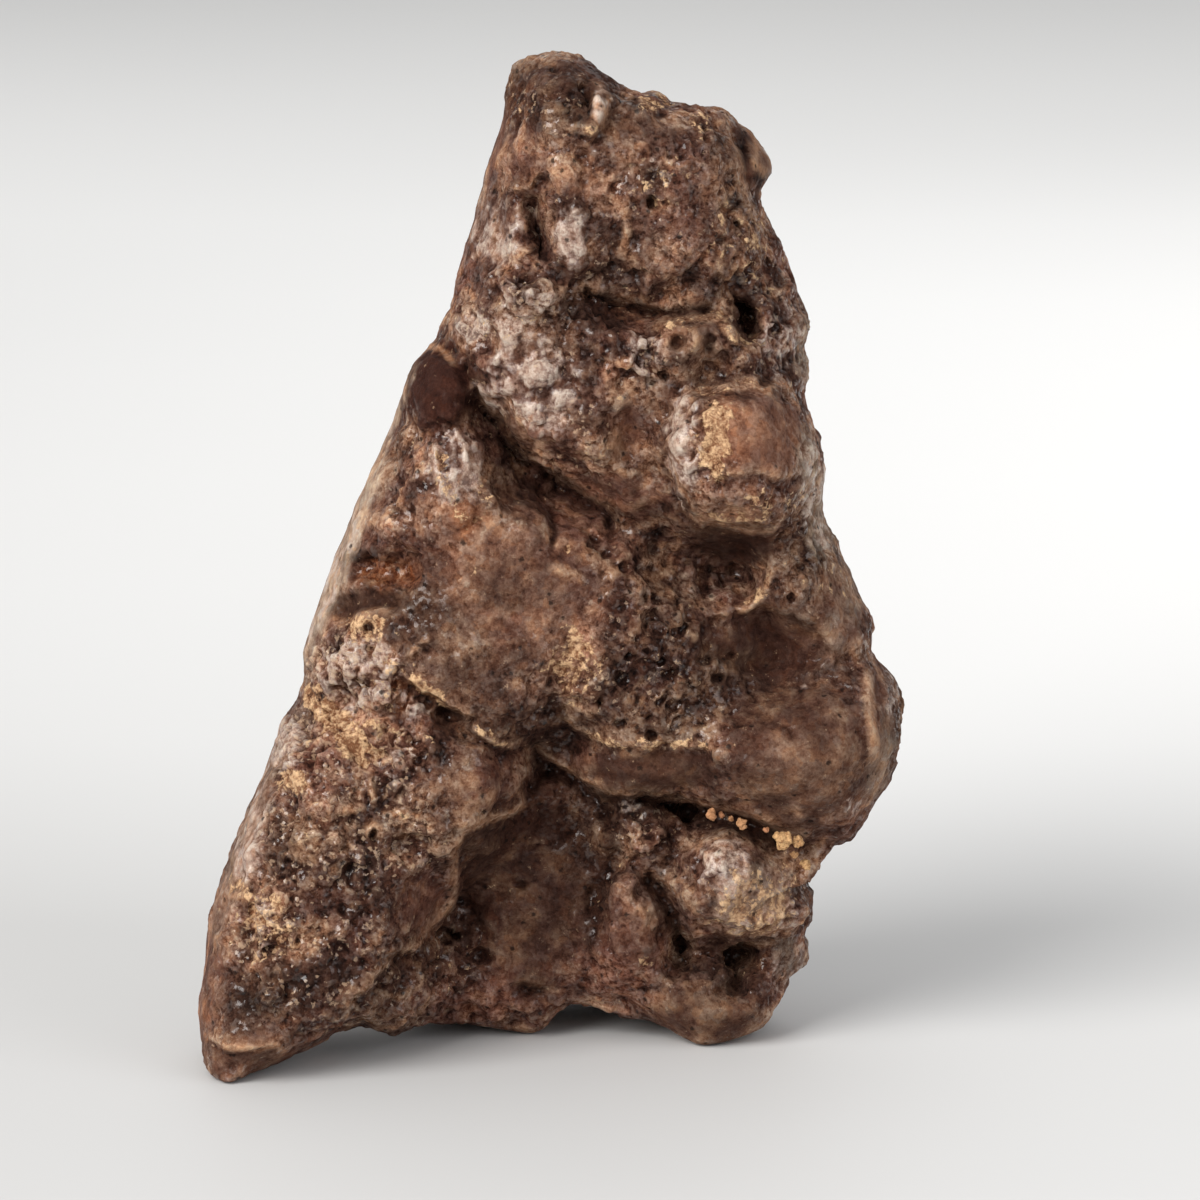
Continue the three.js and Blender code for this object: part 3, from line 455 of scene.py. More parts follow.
        (-2.6, 22.6, 0.6, 1.0, 0, 1.0), (17.4, 15.6, 0.7, 0.6, 0, 0.4), (-6, 9.4, 1.1, 0.6, 0, 0.6),
        (-14.6, 5.6, 0.8, 0.6, 0, 0.5), (-4.5, 35.3, 0.7, 0.3, 0, 0.25), (2.6, 41.2, 0.7, 1.0, 0, 0.7),
        (3.4, 40.3, 0.5, 0.5, 0, 0.5), (-12.4, 43.6, 0.5, 0.9, 0, 0.5), (2, 43.6, 1.4, 1.0, -20, 0.5),
        (5.5, 30, 0.3, 0.3, 0, 0.4), (9.8, 30.6, 0.4, 0.5, 0, 0.6), (6, 29.4, 0.35, 0.4, 0, 0.5),
    ],
    "wander": (1.6, 0.22),  # size and shift of the noise that bends every line
    "swell": 0.25,  # how much the proud side of a ledge rises, as a share of its drop
    "lipReach": (0.35, 0.12),  # how far a lip runs back from a ledge and down it
    "pitLip": 0.12,
}

# how the stone's solid becomes the visible mesh, in millimetres but for mergeGap, in metres; nudges pull
# parts of the outline over the face plane: (across, up, reach, shift across, shift up)
stoneBuild = {
    "voxel": 0.17, "triangles": 197000, "mergeGap": 1e-7,
    "rimFade": (0.5, 2.4),  # the relief grows from nought to full between these distances from the rim
    "rimQuiet": (0.45, 1.5), "footQuiet": 1.2,  # the grain is weaker at the rim and on the ground
    "backGrain": 0.3,  # strength of the grain on the side turned away
    "backGrid": 0.5, "backBlur": 3.0, "backDents": ((10.0, 2.2, 401), (4.5, 0.9, 411)),
    "backFacets": (10.0, 1.2), "backWaste": (2.4, 0.7, 421),
    "nudges": [
        (20.6, 16.9, 1.5, 0.4, 1.1), (19.2, 10.8, 2.2, 0.55, 0), (25.6, 30, 3.2, 0.45, 0.1),
        (25.6, 24.5, 2.6, 0.3, 0), (23.6, 35, 1.8, 0.5, 0), (-5.3, 73.6, 2.6, 0.55, 0),
        (-13.8, 50.3, 3.4, 0.4, 0), (-21.3, 29.4, 1.6, -0.4, 0), (18.2, 42.0, 1.4, -0.2, 0),
    ],
}


def rimOf(points, faces):
    # the outline seen from the front: edges between a facet turned to the viewer and one turned away
    corner = points[faces]
    normal = np.cross(corner[:, 1] - corner[:, 0], corner[:, 2] - corner[:, 0])
    toward = normal @ toViewer > 0
    sides = np.sort(np.concatenate([faces[:, [0, 1]], faces[:, [1, 2]], faces[:, [2, 0]]]), axis=1)
    owner = np.tile(toward, 3)
    order = np.lexsort((sides[:, 1], sides[:, 0]))
    sides, owner = sides[order], owner[order]
    pair = (sides[:-1] == sides[1:]).all(axis=1) & (owner[:-1] != owner[1:])
    ends = points[sides[:-1][pair]]
    steps = np.linspace(0, 1, 5)[:4, None, None]  # four spots on each edge
    return faceOf((ends[None, :, 0] * (1 - steps) + ends[None, :, 1] * steps).reshape(-1, 3))


def readGrid(grid, spot):
    # the value between the four nearest corners of a square grid
    cell = np.floor(spot).astype(int)
    i, j, p, q = cell[:, 0], cell[:, 1], spot[:, 0] - cell[:, 0], spot[:, 1] - cell[:, 1]
    below = grid[i, j] * (1 - p) + grid[i + 1, j] * p
    above = grid[i, j + 1] * (1 - p) + grid[i + 1, j + 1] * p
    return below * (1 - q) + above * q


def distanceTo(spots, face, step=0.4):
    # distance on the face plane to the nearest spot, worked out on a square grid and read off between
    # its corners
    low = face.min(0) - step
    count = np.ceil((face.max(0) - low) / step).astype(int) + 2
    grid = np.stack(np.meshgrid(*(np.arange(n) * step for n in count), indexing="ij"), axis=-1)
    grid = grid.reshape(-1, 2) + low
    nearest = np.full(len(grid), 1e9)
    for spot in spots:
        nearest = np.minimum(nearest, ((grid - spot) ** 2).sum(axis=1))
    nearest = np.sqrt(nearest).reshape(count)
    return readGrid(nearest, (face - low) / step)


def rubBack(points, normals, face, rimGap, build):
    # the depth of the side turned away is blurred on a square grid on the face plane, which takes out its
    # creases, then tilted facets and fine noise are laid on it
    away = -(normals @ toViewer)
    behind = away > 0.1
    share = smooth(0.1, 0.5, away) * smooth(1.0, 5.0, rimGap) * smooth(0.5, 5.0, points[:, 2])
    depth = points[:, 1] * tiltCos - points[:, 2] * tiltSin
    step = build["backGrid"]
    spot = (face - face.min(0)) / step + 1
    count = np.ceil(spot.max(0)).astype(int) + 2
    cell = np.round(spot[behind]).astype(int)
    index = cell[:, 0] * count[1] + cell[:, 1]
    kernel = np.exp(-np.linspace(-3, 3, 2 * int(3 * build["backBlur"] / step) + 1) ** 2)
    layers = [np.bincount(index, values, count.prod()).reshape(count)
              for values in (np.ones(len(index)), depth[behind])]
    for axis in (0, 1):
        layers = [np.apply_along_axis(np.convolve, axis, layer, kernel, "same") for layer in layers]
    lift = depth - readGrid(layers[1] / np.maximum(layers[0], 1e-6), spot)
    hard, tilt = build["backFacets"]
    dents = sum(height * chunks(points, size, seed, hard, tilt) for size, height, seed in build["backDents"])
    size, height, seed = build["backWaste"]
    dents += height * rough(points, size, seed, 4)
    return points + (share * lift)[:, None] * toViewer + normals * (share * dents)[:, None]


def alongLine(face, line, reach):
    # for the points within reach of a line: their numbers, distance, side and share, which fades at the
    # line's ends
    corners = np.array(line)
    low, high = corners.min(0) - reach, corners.max(0) + reach
    close = np.flatnonzero(((face > low) & (face < high)).all(axis=1))
    spot = face[close]
    best, side, along, total = np.full(len(close), 1e9), np.ones(len(close)), np.zeros(len(close)), 0.0
    for start, end in zip(corners[:-1], corners[1:]):
        run = end - start
        length = np.hypot(*run)
        off = spot - start
        t = np.clip(off @ run / length ** 2, 0, 1)
        away = np.hypot(*(off - t[:, None] * run).T)
        nearer = away < best
        side = np.where(nearer, np.sign(run[0] * off[:, 1] - run[1] * off[:, 0]), side)
        along = np.where(nearer, total + t * length, along)
        best = np.where(nearer, away, best)
        total += length
    fade = min(1.2, total / 3)
    return close, best, side, smooth(0, fade, along) * smooth(0, fade, total - along)


def insideOf(face, corners):
    # for the points inside a closed line: their numbers and how far they are from it
    line = np.array(corners + corners[:1], float)
    close = np.flatnonzero(((face > line.min(0)) & (face < line.max(0))).all(axis=1))
    spot = face[close]
    inside, best = np.zeros(len(close), bool), np.full(len(close), 1e9)
    for start, end in zip(line[:-1], line[1:]):
        run = end - start
        off = spot - start
        t = np.clip(off @ run / (run @ run), 0, 1)
        best = np.minimum(best, np.hypot(*(off - t[:, None] * run).T))
        if run[1]:
            crossing = (start[1] > spot[:, 1]) != (end[1] > spot[:, 1])
            inside ^= crossing & (spot[:, 0] < start[0] + run[0] * off[:, 1] / run[1])
    return close[inside], best[inside]


def reliefOn(face, relief):
    # how far each point comes towards the viewer, and where the raised lines and lips and the hollows lie,
    # 0 to 1; the hollows are where the colour paints shade
    flat = np.column_stack([face, np.zeros(len(face))])
    size, shift = relief["wander"]
    face = face + shift * np.stack([rough(flat, size, seed, 2) for seed in (71, 81)], axis=1)
    lipBack, lipDown = relief["lipReach"]
    total, lip, hollowShade = np.zeros(len(face)), np.zeros(len(face)), np.zeros(len(face))

    def mark(mask, near, value):
        mask[near] = np.maximum(mask[near], value)

    for height, soft, corners in relief["plates"]:
        near, away = insideOf(face, corners)
        total[near] += height * smooth(0, soft, away)
    for drop, reach, line in relief["ledges"]:
        near, away, side, share = alongLine(face, line, reach * 3)
        dying = np.exp(-away / reach)
        low = smooth(0, 0.3, away) * dying
        total[near] += np.where(side < 0, -drop * low, relief["swell"] * drop * dying) * share
        mark(lip, near, np.where(side > 0, np.exp(-away / lipBack), np.exp(-away / lipDown)) * share)
        mark(hollowShade, near, np.where(side < 0, smooth(0.1, 0.4, away) * dying, 0) * share)
    for depth, half, line in relief["grooves"]:
        near, away, _, share = alongLine(face, line, half * 2)
        total[near] -= depth * (1 - smooth(0, half * 1.4, away)) * share
        mark(hollowShade, near, (1 - smooth(half * 0.4, half * 1.2, away)) * share)
    for height, half, line in relief["ridges"]:
        near, away, _, share = alongLine(face, line, half * 2)
        total[near] += height * (1 - smooth(0, half * 1.4, away)) * share
        mark(lip, near, (1 - smooth(half * 0.5, half * 1.3, away)) * share)
    for a, b, wide, high, turn, height in relief["knobs"]:
        total += height * dome(ellipseReach(face, a, b, wide, high, turn))
    for a, b, wide, high, turn, depth in relief["pits"]:
        reach = ellipseReach(face, a, b, wide, high, turn)
        brim = relief["pitLip"] * np.exp(-((reach - 1.25) / 0.25) ** 2)
        total -= depth * (1 - smooth(0.45, 1.05, reach)) - brim
        hollowShade = np.maximum(hollowShade, (1 - smooth(0.6, 1.05, reach)) * min(1.0, depth))
    return total, lip, hollowShade


def nudged(points, nudges):
    # each shift dies away from its spot as a bell curve of its reach
    for a, b, reach, shiftA, shiftB in nudges:
        off = np.hypot(*(faceOf(points) - (a, b)).T)
        share = np.exp(-(off / reach) ** 2)[:, None]
        points = points + share * np.array([shiftA, shiftB * tiltSin, shiftB * tiltCos])
    return points


# how the surface is broken up all over: (size, height) in millimetres
stoneGrain = {
    "swells": (5.0, 0.35), "waste": (2.4, 0.42), "beads": (1.0, 0.14), "veins": (2.8, 0.15),
    "holes": (1.5, 0.4),
    "facets": [  # tilted facets: (size, height, seed, share where it is quiet)
        (2.1, 0.7, 111, 0.2), (1.0, 0.4, 121, 0.1), (0.5, 0.18, 131, 0.15),
    ],
    "holeSizes": ((1.0, 161, 0.75), (0.6, 171, 0.55)),  # (share of the size, seed, rarity)
    "wander": (3, 0.8),  # size and shift of the noise that bends the patches
    "bend": (1.2, 0.25),  # the same for the facets, beads, veins and holes
    "lulls": (4.5, 0.35),  # size of the quieter stretches and the grain left in them
    "lipCalm": 0.75, "veinWidth": 0.07, "patchSoft": 0.5,
    "calm": [
        (-2.5, 53, 4, 4, 0, 0.45), (-8, 47, 2.2, 3, 0, 0.5), (9, 49, 1.3, 4, 0, 0.5),
        (14, 14, 4, 3, 0, 0.4), (-9.4, 53.2, 2.4, 3.3, 8, 0.95), (15.2, 49.4, 3.2, 3.4, 0, 0.85),
        (-7.5, 33, 4.8, 6, 0, 0.45), (-14.6, 36.8, 3.0, 1.0, 5, 0.95), (16, 33.5, 5.2, 3.0, 0, 0.95),
        (18.5, 25, 6.5, 6.5, 0, 0.8), (7, 23.9, 5.5, 1.4, 0, 0.95), (-2.5, 14, 5, 8, 0, 0.8),
        (-5, 65, 2.0, 3, 0, 0.6), (15, 70.8, 1.8, 2.8, 0, 0.9), (1.5, 43.8, 2, 2, 0, 0.7),
        (-23.5, 2, 4, 1.4, 0, 0.8), (11, 4.8, 4.4, 2.6, 0, 0.8), (5.5, 12, 2.4, 3.4, 0, 0.6),
        (-4, 38.5, 7, 7, 0, 0.7), (-16.8, 40, 1.6, 9, -22, 0.8), (-24.6, 17.4, 1.4, 9, -17, 0.7),
        (13.5, 41.2, 3.0, 1.4, 0, 0.9), (5.1, 49.8, 1.1, 2.2, -8, 0.9), (13.5, 43.2, 2.6, 0.9, 0, 0.8),
        (22, 37, 2.4, 5, -20, 0.7), (9, 56.5, 0.9, 1.0, 0, 0.8), (11.3, 56.4, 0.6, 1.1, 0, 0.8),
        (-10.2, 13.6, 2.0, 2.0, 30, 0.7), (-17.8, 38, 1.2, 9, -22, 0.6), (-8, 42, 2, 2, 0, 0.5),
        (24.4, 27, 1.2, 6, 0, 0.8), (1, 64, 1.0, 2.4, 0, 0.5), (-6, 22.5, 3, 2, 0, 0.6),
        (5, 45, 3, 1.4, -20, 0.6), (-5.4, 72.5, 1.4, 4.5, -6, 0.85), (-8, 63.5, 1.2, 6, -14, 0.7),
        (-0.5, 76.4, 3.6, 1.4, 0, 0.5), (-13.8, 50, 1.4, 7, -26, 0.8), (-27, 7, 1.2, 7, -8, 0.75),
        (3, 74.4, 0.9, 1.9, 0, 0.95), (6.5, 72.5, 4, 1.6, 0, 0.45), (1.2, 68.4, 2.0, 1.6, 0, 0.5),
        (-2.8, 70.5, 2.0, 2.4, 0, 0.5),
    ],
    "spongy": [
        (15.2, 63, 3.2, 6, 15, 1.0), (16.5, 57, 3.0, 4, 0, 0.9), (7.6, 30.5, 5.0, 5, 0, 0.8),
        (7, 37.5, 4, 3.5, 0, 0.6), (-13, 39, 2.2, 1.3, 0, 0.9), (-9, 8.5, 6, 3.5, 20, 0.7),
        (-15, 24, 5, 4, 20, 0.4), (-16.5, 12, 6, 6, 0, 0.4), (-16.4, 27.2, 2.6, 1.0, -50, 1.0),
        (8, 66, 6, 6, 0, 0.5), (13.5, 8.5, 2.0, 2.0, 0, 0.5), (-1, 74, 3, 3, 0, 0.4),
        (18, 38.5, 1.8, 2.5, 0, 0.8), (11.8, 49.4, 1.2, 3.4, 0, 0.8), (-12, 45, 1.6, 4, 0, 0.7),
        (12.6, 61.4, 2, 1.6, 0, 0.8),
    ],
    "crumbly": [
        (-15.8, 31.5, 3.6, 3.2, 0, 1.0), (-18.5, 26, 3, 4, -30, 0.9), (-17.5, 19, 5, 4, 0, 0.8),
        (-22, 12, 3, 4, 0, 0.9), (-13, 25, 2.5, 2.5, 0, 0.9), (-2.5, 53, 5, 4.5, 0, 0.4),
        (1.5, 49, 2.5, 3, 0, 0.4), (-8, 47, 2.2, 3, 0, 0.3), (9, 49, 1.3, 4, 0, 0.4),
        (-1.5, 74, 4, 3.5, 0, 0.35), (8, 67, 6, 7, 0, 0.2), (-18, 9, 6, 5, 0, 0.5),
        (14, 14.5, 4.5, 3.4, 0, 0.4), (6.5, 19.5, 2.6, 2, 0, 0.5), (8, 33, 6, 7, 0, 0.25),
        (1.5, 31.5, 2.8, 3, 0, 0.5), (16, 58, 3, 4, 0, 0.4), (-12, 19, 3, 3.5, 0, 0.7),
        (-7, 58, 2.4, 1.6, 0, 0.6), (-2, 60, 3, 1.6, -20, 0.6), (6.5, 55, 1.6, 1.8, 0, 0.6),
        (2.8, 62.2, 1.8, 1.2, 0, 0.6),
    ],
}


def chunks(points, size, seed, hard=12.0, tilt=0.9):
    # each cell is a facet with a height and a slope of its own, -0.5 to 0.5, blended with its neighbours by
    # nearness: the weight is e to the minus hard times the distance squared
    p = points / size
    base = np.floor(p)
    total, share = np.zeros(len(p)), np.zeros(len(p))
    for step in cellsAround:
        cell = base + step
        h = hashed(cell, seed)
        away = p - cell - split(h)
        weight = np.exp(-hard * (away ** 2).sum(axis=1))
        slope = (away * (split(h * np.uint32(hashMix["again"])) - 0.5)).sum(axis=1)
        total += weight * (chance(h, 9, 991) / 990.0 - 0.5 + tilt * slope)
        share += weight
    return total / share


def grainOn(points, face, setting, lip):
    # swells and waste are plain noise, facets are chunks at three sizes, beads are small domes, veins are
    # thin ridges where noise crosses nought, and holes are steep pits in a few cells, more where it is
    # spongy; all of it is less on calm patches and on the raised lines of the relief
    size, shift = setting["wander"]
    wander = shift * np.stack([waves(points, size, seed) for seed in (5, 6)], 1)
    calm, spongy, crumbly = (patch(face + wander, setting[name], setting["patchSoft"])
                             for name in ("calm", "spongy", "crumbly"))
    busy = (1 - calm) * (1 - setting["lipCalm"] * lip)
    spongy, crumbly = spongy * busy, crumbly * busy
    size, least = setting["lulls"]
    lively = busy * (least + (1 - least) * smooth(-0.35, 0.35, waves(points, size, 19)))
    size, height = setting["swells"]
    total = height * rough(points, size, 101, 2) * (0.5 + 0.5 * busy)
    size, height = setting["waste"]
    total += height * rough(points, size, 105, 4) * (0.3 + 0.7 * lively)
    size, shift = setting["bend"]
    bent = points + shift * np.stack([rough(points, size, seed, 2) for seed in (7, 8, 9)], 1)
    for size, height, seed, least in setting["facets"]:
        share = least + (1 - least) * np.maximum(lively, 0.8 * crumbly) + 0.6 * crumbly
        total += height * chunks(bent, size, seed) * share
    size, height = setting["beads"]
    gap, owner = cells(bent, size, 141)
    total += height * (dome(gap / 0.7) * owner - 0.3) * crumbly
    size, height = setting["veins"]
    thread = 1 - np.abs(rough(bent, size, 151, 3)) / setting["veinWidth"]
    total += height * np.clip(thread, 0, 1) * (0.15 + 0.85 * lively)
    size, height = setting["holes"]
    for scale, seed, rare in setting["holeSizes"]:
        gap, owner = cells(bent, size * scale, seed)
        often = np.clip((owner - rare + 0.3 * spongy - 0.2 * (1 - spongy)) * 5, 0, 1)
        total -= height * scale * often * (1 - smooth(0.12, 0.38, gap)) * (0.1 + 0.4 * busy + 0.5 * spongy)
    return total, calm, spongy, crumbly


def mergedCopy(source, gap):
    # the solid's loose triangles as one joined mesh
    work = bmesh.new()
    work.from_mesh(source)
    bmesh.ops.remove_doubles(work, verts=work.verts, dist=gap)
    bmesh.ops.triangulate(work, faces=work.faces)
    mesh = bpy.data.meshes.new("stoneWork")
    work.to_mesh(mesh)
    work.free()
    return mesh


def makeStoneMesh(relief, grain, build):
    # the solid is rounded off, takes the relief, is remeshed evenly, rubbed down behind, broken up by the
    # grain and thinned
    mesh = mergedCopy(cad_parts["stone"].data, build["mergeGap"])
    points = nudged(toLocal(pointsOf(mesh)), build["nudges"])
    movePoints(mesh, points)
    rim = rimOf(points, readFlat(mesh.polygons, "vertices", 3, np.int32))
    mesh = worked(mesh, "SUBSURF", levels=2, render_levels=2, subdivision_type="CATMULL_CLARK")
    points, toward = pointsOf(mesh), normalsOf(mesh) @ toViewer
    face = faceOf(points)
    fade = smooth(*build["rimFade"], distanceTo(rim, face)) * smooth(0.0, 0.25, toward)
    offset = reliefOn(face, relief)[0] * fade
    movePoints(mesh, points + offset[:, None] * toViewer)
    mesh = worked(mesh, "REMESH", mode="VOXEL", voxel_size=build["voxel"], adaptivity=0.0)
    print("stone laid out:", len(mesh.vertices), "points")
    face = faceOf(pointsOf(mesh))
    rimGap = distanceTo(rim, face)
    movePoints(mesh, rubBack(pointsOf(mesh), normalsOf(mesh), face, rimGap, build))
    points, normals = pointsOf(mesh), normalsOf(mesh)
    toward, face = normals @ toViewer, faceOf(points)
    lip = reliefOn(face, relief)[1] * smooth(0, 0.3, toward)
    height = grainOn(points, face, grain, lip)[0]
    low, high = build["rimQuiet"]
    keep = smooth(0.0, build["footQuiet"], points[:, 2]) * (low + (1 - low) * smooth(0.1, high, rimGap))
    keep *= 1 - (1 - build["backGrain"]) * smooth(0.1, 0.6, -toward)
    movePoints(mesh, points + normals * (height * keep)[:, None])
    count = 2 * len(mesh.polygons)  # every remeshed face is a square, so two triangles
    mesh = worked(mesh, "DECIMATE", ratio=build["triangles"] / count, use_collapse_triangulate=True)
    seen = normalsOf(mesh) @ toViewer > 0
    print("stone thinned:", len(mesh.polygons), "triangles, share of points in front", round(seen.mean(), 2))
    return mesh


def setAttribute(mesh, name, values):
    attribute = mesh.attributes.new(name, "FLOAT", "POINT")
    attribute.data.foreach_set("value", values.astype(np.float32))


def makePiece(name, mesh, node, material):
    # puts a mesh made in millimetres into the frame in place of its CAD node
    movePoints(mesh, toFrame(pointsOf(mesh)))
    shadeSmooth(mesh)
    mesh.materials.clear()
    mesh.materials.append(material)
    mesh.name = name
    piece = addObject(name, mesh)
    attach(piece, "root")
    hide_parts(node)


# clods and waste are (size, height, shift of the noise from grain to grain); fill is each grain's size as
# a share of its solid's box
grainShape = {"rows": 28, "columns": 44, "clods": (0.8, 0.75, 7.3), "clodHard": 5.0, "waste": (0.5, 0.2, 3.1),
              "fill": (1.1, 1.04, 1.04, 1.1, 1.04, 1.25, 1.2, 1.2, 1.1),
              "pinkness": (0.8, 1, 0.7, 0.6, 1, 0, 0.1, 0.3, 0.05)}


def makeSoilGrain(number, shape, material):
    # a globe of rows and columns whose radius is 1 plus cells of chance height and finer noise, drawn out
    # to the box of the grain's solid
    node = "soil_grain_%d" % number
    low, high = (np.array(corner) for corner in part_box(node))
    polar = np.linspace(0, math.pi, shape["rows"] + 1)[1:-1, None]
    turn = np.linspace(0, 2 * math.pi, shape["columns"], endpoint=False)[None, :]
    rise = np.cos(polar) + 0 * turn
    ring = np.stack([np.sin(polar) * np.cos(turn), np.sin(polar) * np.sin(turn), rise], axis=-1)
    way = np.vstack([ring.reshape(-1, 3), [[0, 0, 1], [0, 0, -1]]])
    size, height, shift = shape["clods"]
    radius = 1 + height * chunks(way + shift * number, size, 301, shape["clodHard"])
    size, height, shift = shape["waste"]
    radius += height * rough(way + shift * number, size, 311, 3)
    points = way * radius[:, None]
    span = points.max(0) - points.min(0)
    points = (points - (points.max(0) + points.min(0)) / 2) / span * shape["fill"][number - 1]
    points = (low + high) / 2 + points * (high - low)
    columns, rings = shape["columns"], shape["rows"] - 1
    row, col = np.meshgrid(np.arange(rings - 1), np.arange(columns), indexing="ij")
    first, after = (row * columns + col).ravel(), (row * columns + (col + 1) % columns).ravel()
    walls = np.stack([first, first + columns, after + columns, after], axis=1)
    around = np.arange(columns)
    top = np.stack([np.full(columns, rings * columns), around, (around + 1) % columns], axis=1)
    foot = (rings - 1) * columns
    pole = np.full(columns, rings * columns + 1)
    bottom = np.stack([pole, foot + (around + 1) % columns, foot + around], axis=1)
    mesh = makeMesh(node, points, walls.tolist() + top.tolist() + bottom.tolist())
    movePoints(mesh, toLocal(pointsOf(mesh)))
    setAttribute(mesh, "pinkness", np.full(len(points), shape["pinkness"][number - 1], float))
    makePiece("soilGrain_%d" % number, mesh, node, material)


# gritSize is in millimetres, bump in metres; holes is the share of crumbs with a pin hole, hole and holeShade
# the painted shade in it, specular the shader's own level
drySoilTint = {"dark": "#8a5f3c", "light": "#e3b883", "pink": "#b8805e", "hole": "#4a2f1e", "bump": 0.00009,
               "bumpStrength": 0.8, "gritSize": 0.45, "holes": 0.15, "holeShade": 0.6,
               "roughness": (0.8, 0.95), "specular": 0.25}


def makeDrySoil(setting, grit):
    # dark to light by the grit's tone, pinkish where the grain is, and painted shade in the pin holes
    material, tree, shader = newMaterial("drySoil")
    inputs = {"Place": millimetres(tree), "Size": setting["gritSize"], "Holes": setting["holes"]}
    fineGrit = addNode(tree, "ShaderNodeGroup", inputs, node_tree=grit)
    pinkness = attributeNode(tree, "pinkness")
    tone = mathNode(tree, "MULTIPLY_ADD", fineGrit.outputs["Grain"], 0.3, fineGrit.outputs["Uneven"])
    tone = rangeNode(tree, tone, 0.35, 0.95)
    light = mixNode(tree, pinkness, colour(setting["light"]), colour(setting["pink"]))
    soilTone = mixNode(tree, tone, colour(setting["dark"]), light)
    hole = mathNode(tree, "MULTIPLY", fineGrit.outputs["Hole"], setting["holeShade"])
    soilTone = mixNode(tree, hole, soilTone, colour(setting["hole"]))
    tree.links.new(soilTone, shader.inputs["Base Color"])
    dullness = rangeNode(tree, fineGrit.outputs["Fine"], 0.3, 0.7, *setting["roughness"])
    tree.links.new(dullness, shader.inputs["Roughness"])
    shader.inputs["Specular IOR Level"].default_value = setting["specular"]
    joinBump(tree, shader, fineGrit.outputs["Height"], setting)
    return material


# places and sizes in millimetres, power in watts; a lamp without an aim points where the camera does
lampSetting = {
    "key": {"place": (-430, -470, 430), "size": 520, "power": 8.4, "tint": "#fffdfb"},
    "fill": {"place": (520, -420, 300), "size": 500, "power": 1.6, "tint": "#fafaff"},
    "back": {"place": (0, 330, 420), "size": 300, "power": 0.3, "tint": "#ffffff", "aim": (0, 330, 0)},
    "world": ("#fbfbfb", 0.6),
}


def makeLamps(setting, aim):
    # square soft boxes and an even pale surrounding
    for name in ("key", "fill", "back"):
        one = setting[name]
        data = bpy.data.lights.new(name, "AREA")
        data.shape, data.size = "SQUARE", one["size"] * unit
        data.energy = one["power"]
        data.color = colour(one["tint"])[:3]
        lamp = addObject(name, data)
        lamp.location = Vector(toFrame(np.array([one["place"]], float))[0])
        target = Vector(toFrame(np.array([one["aim"]], float))[0]) if "aim" in one else aim
        lamp.rotation_euler = (lamp.location - target).to_track_quat("Z", "Y").to_euler()
    world = bpy.data.worlds.new("studio")
    world.use_nodes = True
    inputs = world.node_tree.nodes["Background"].inputs
    tint, strength = setting["world"]
    inputs["Color"].default_value = colour(tint)
    inputs["Strength"].default_value = strength
    bpy.context.scene.world = world


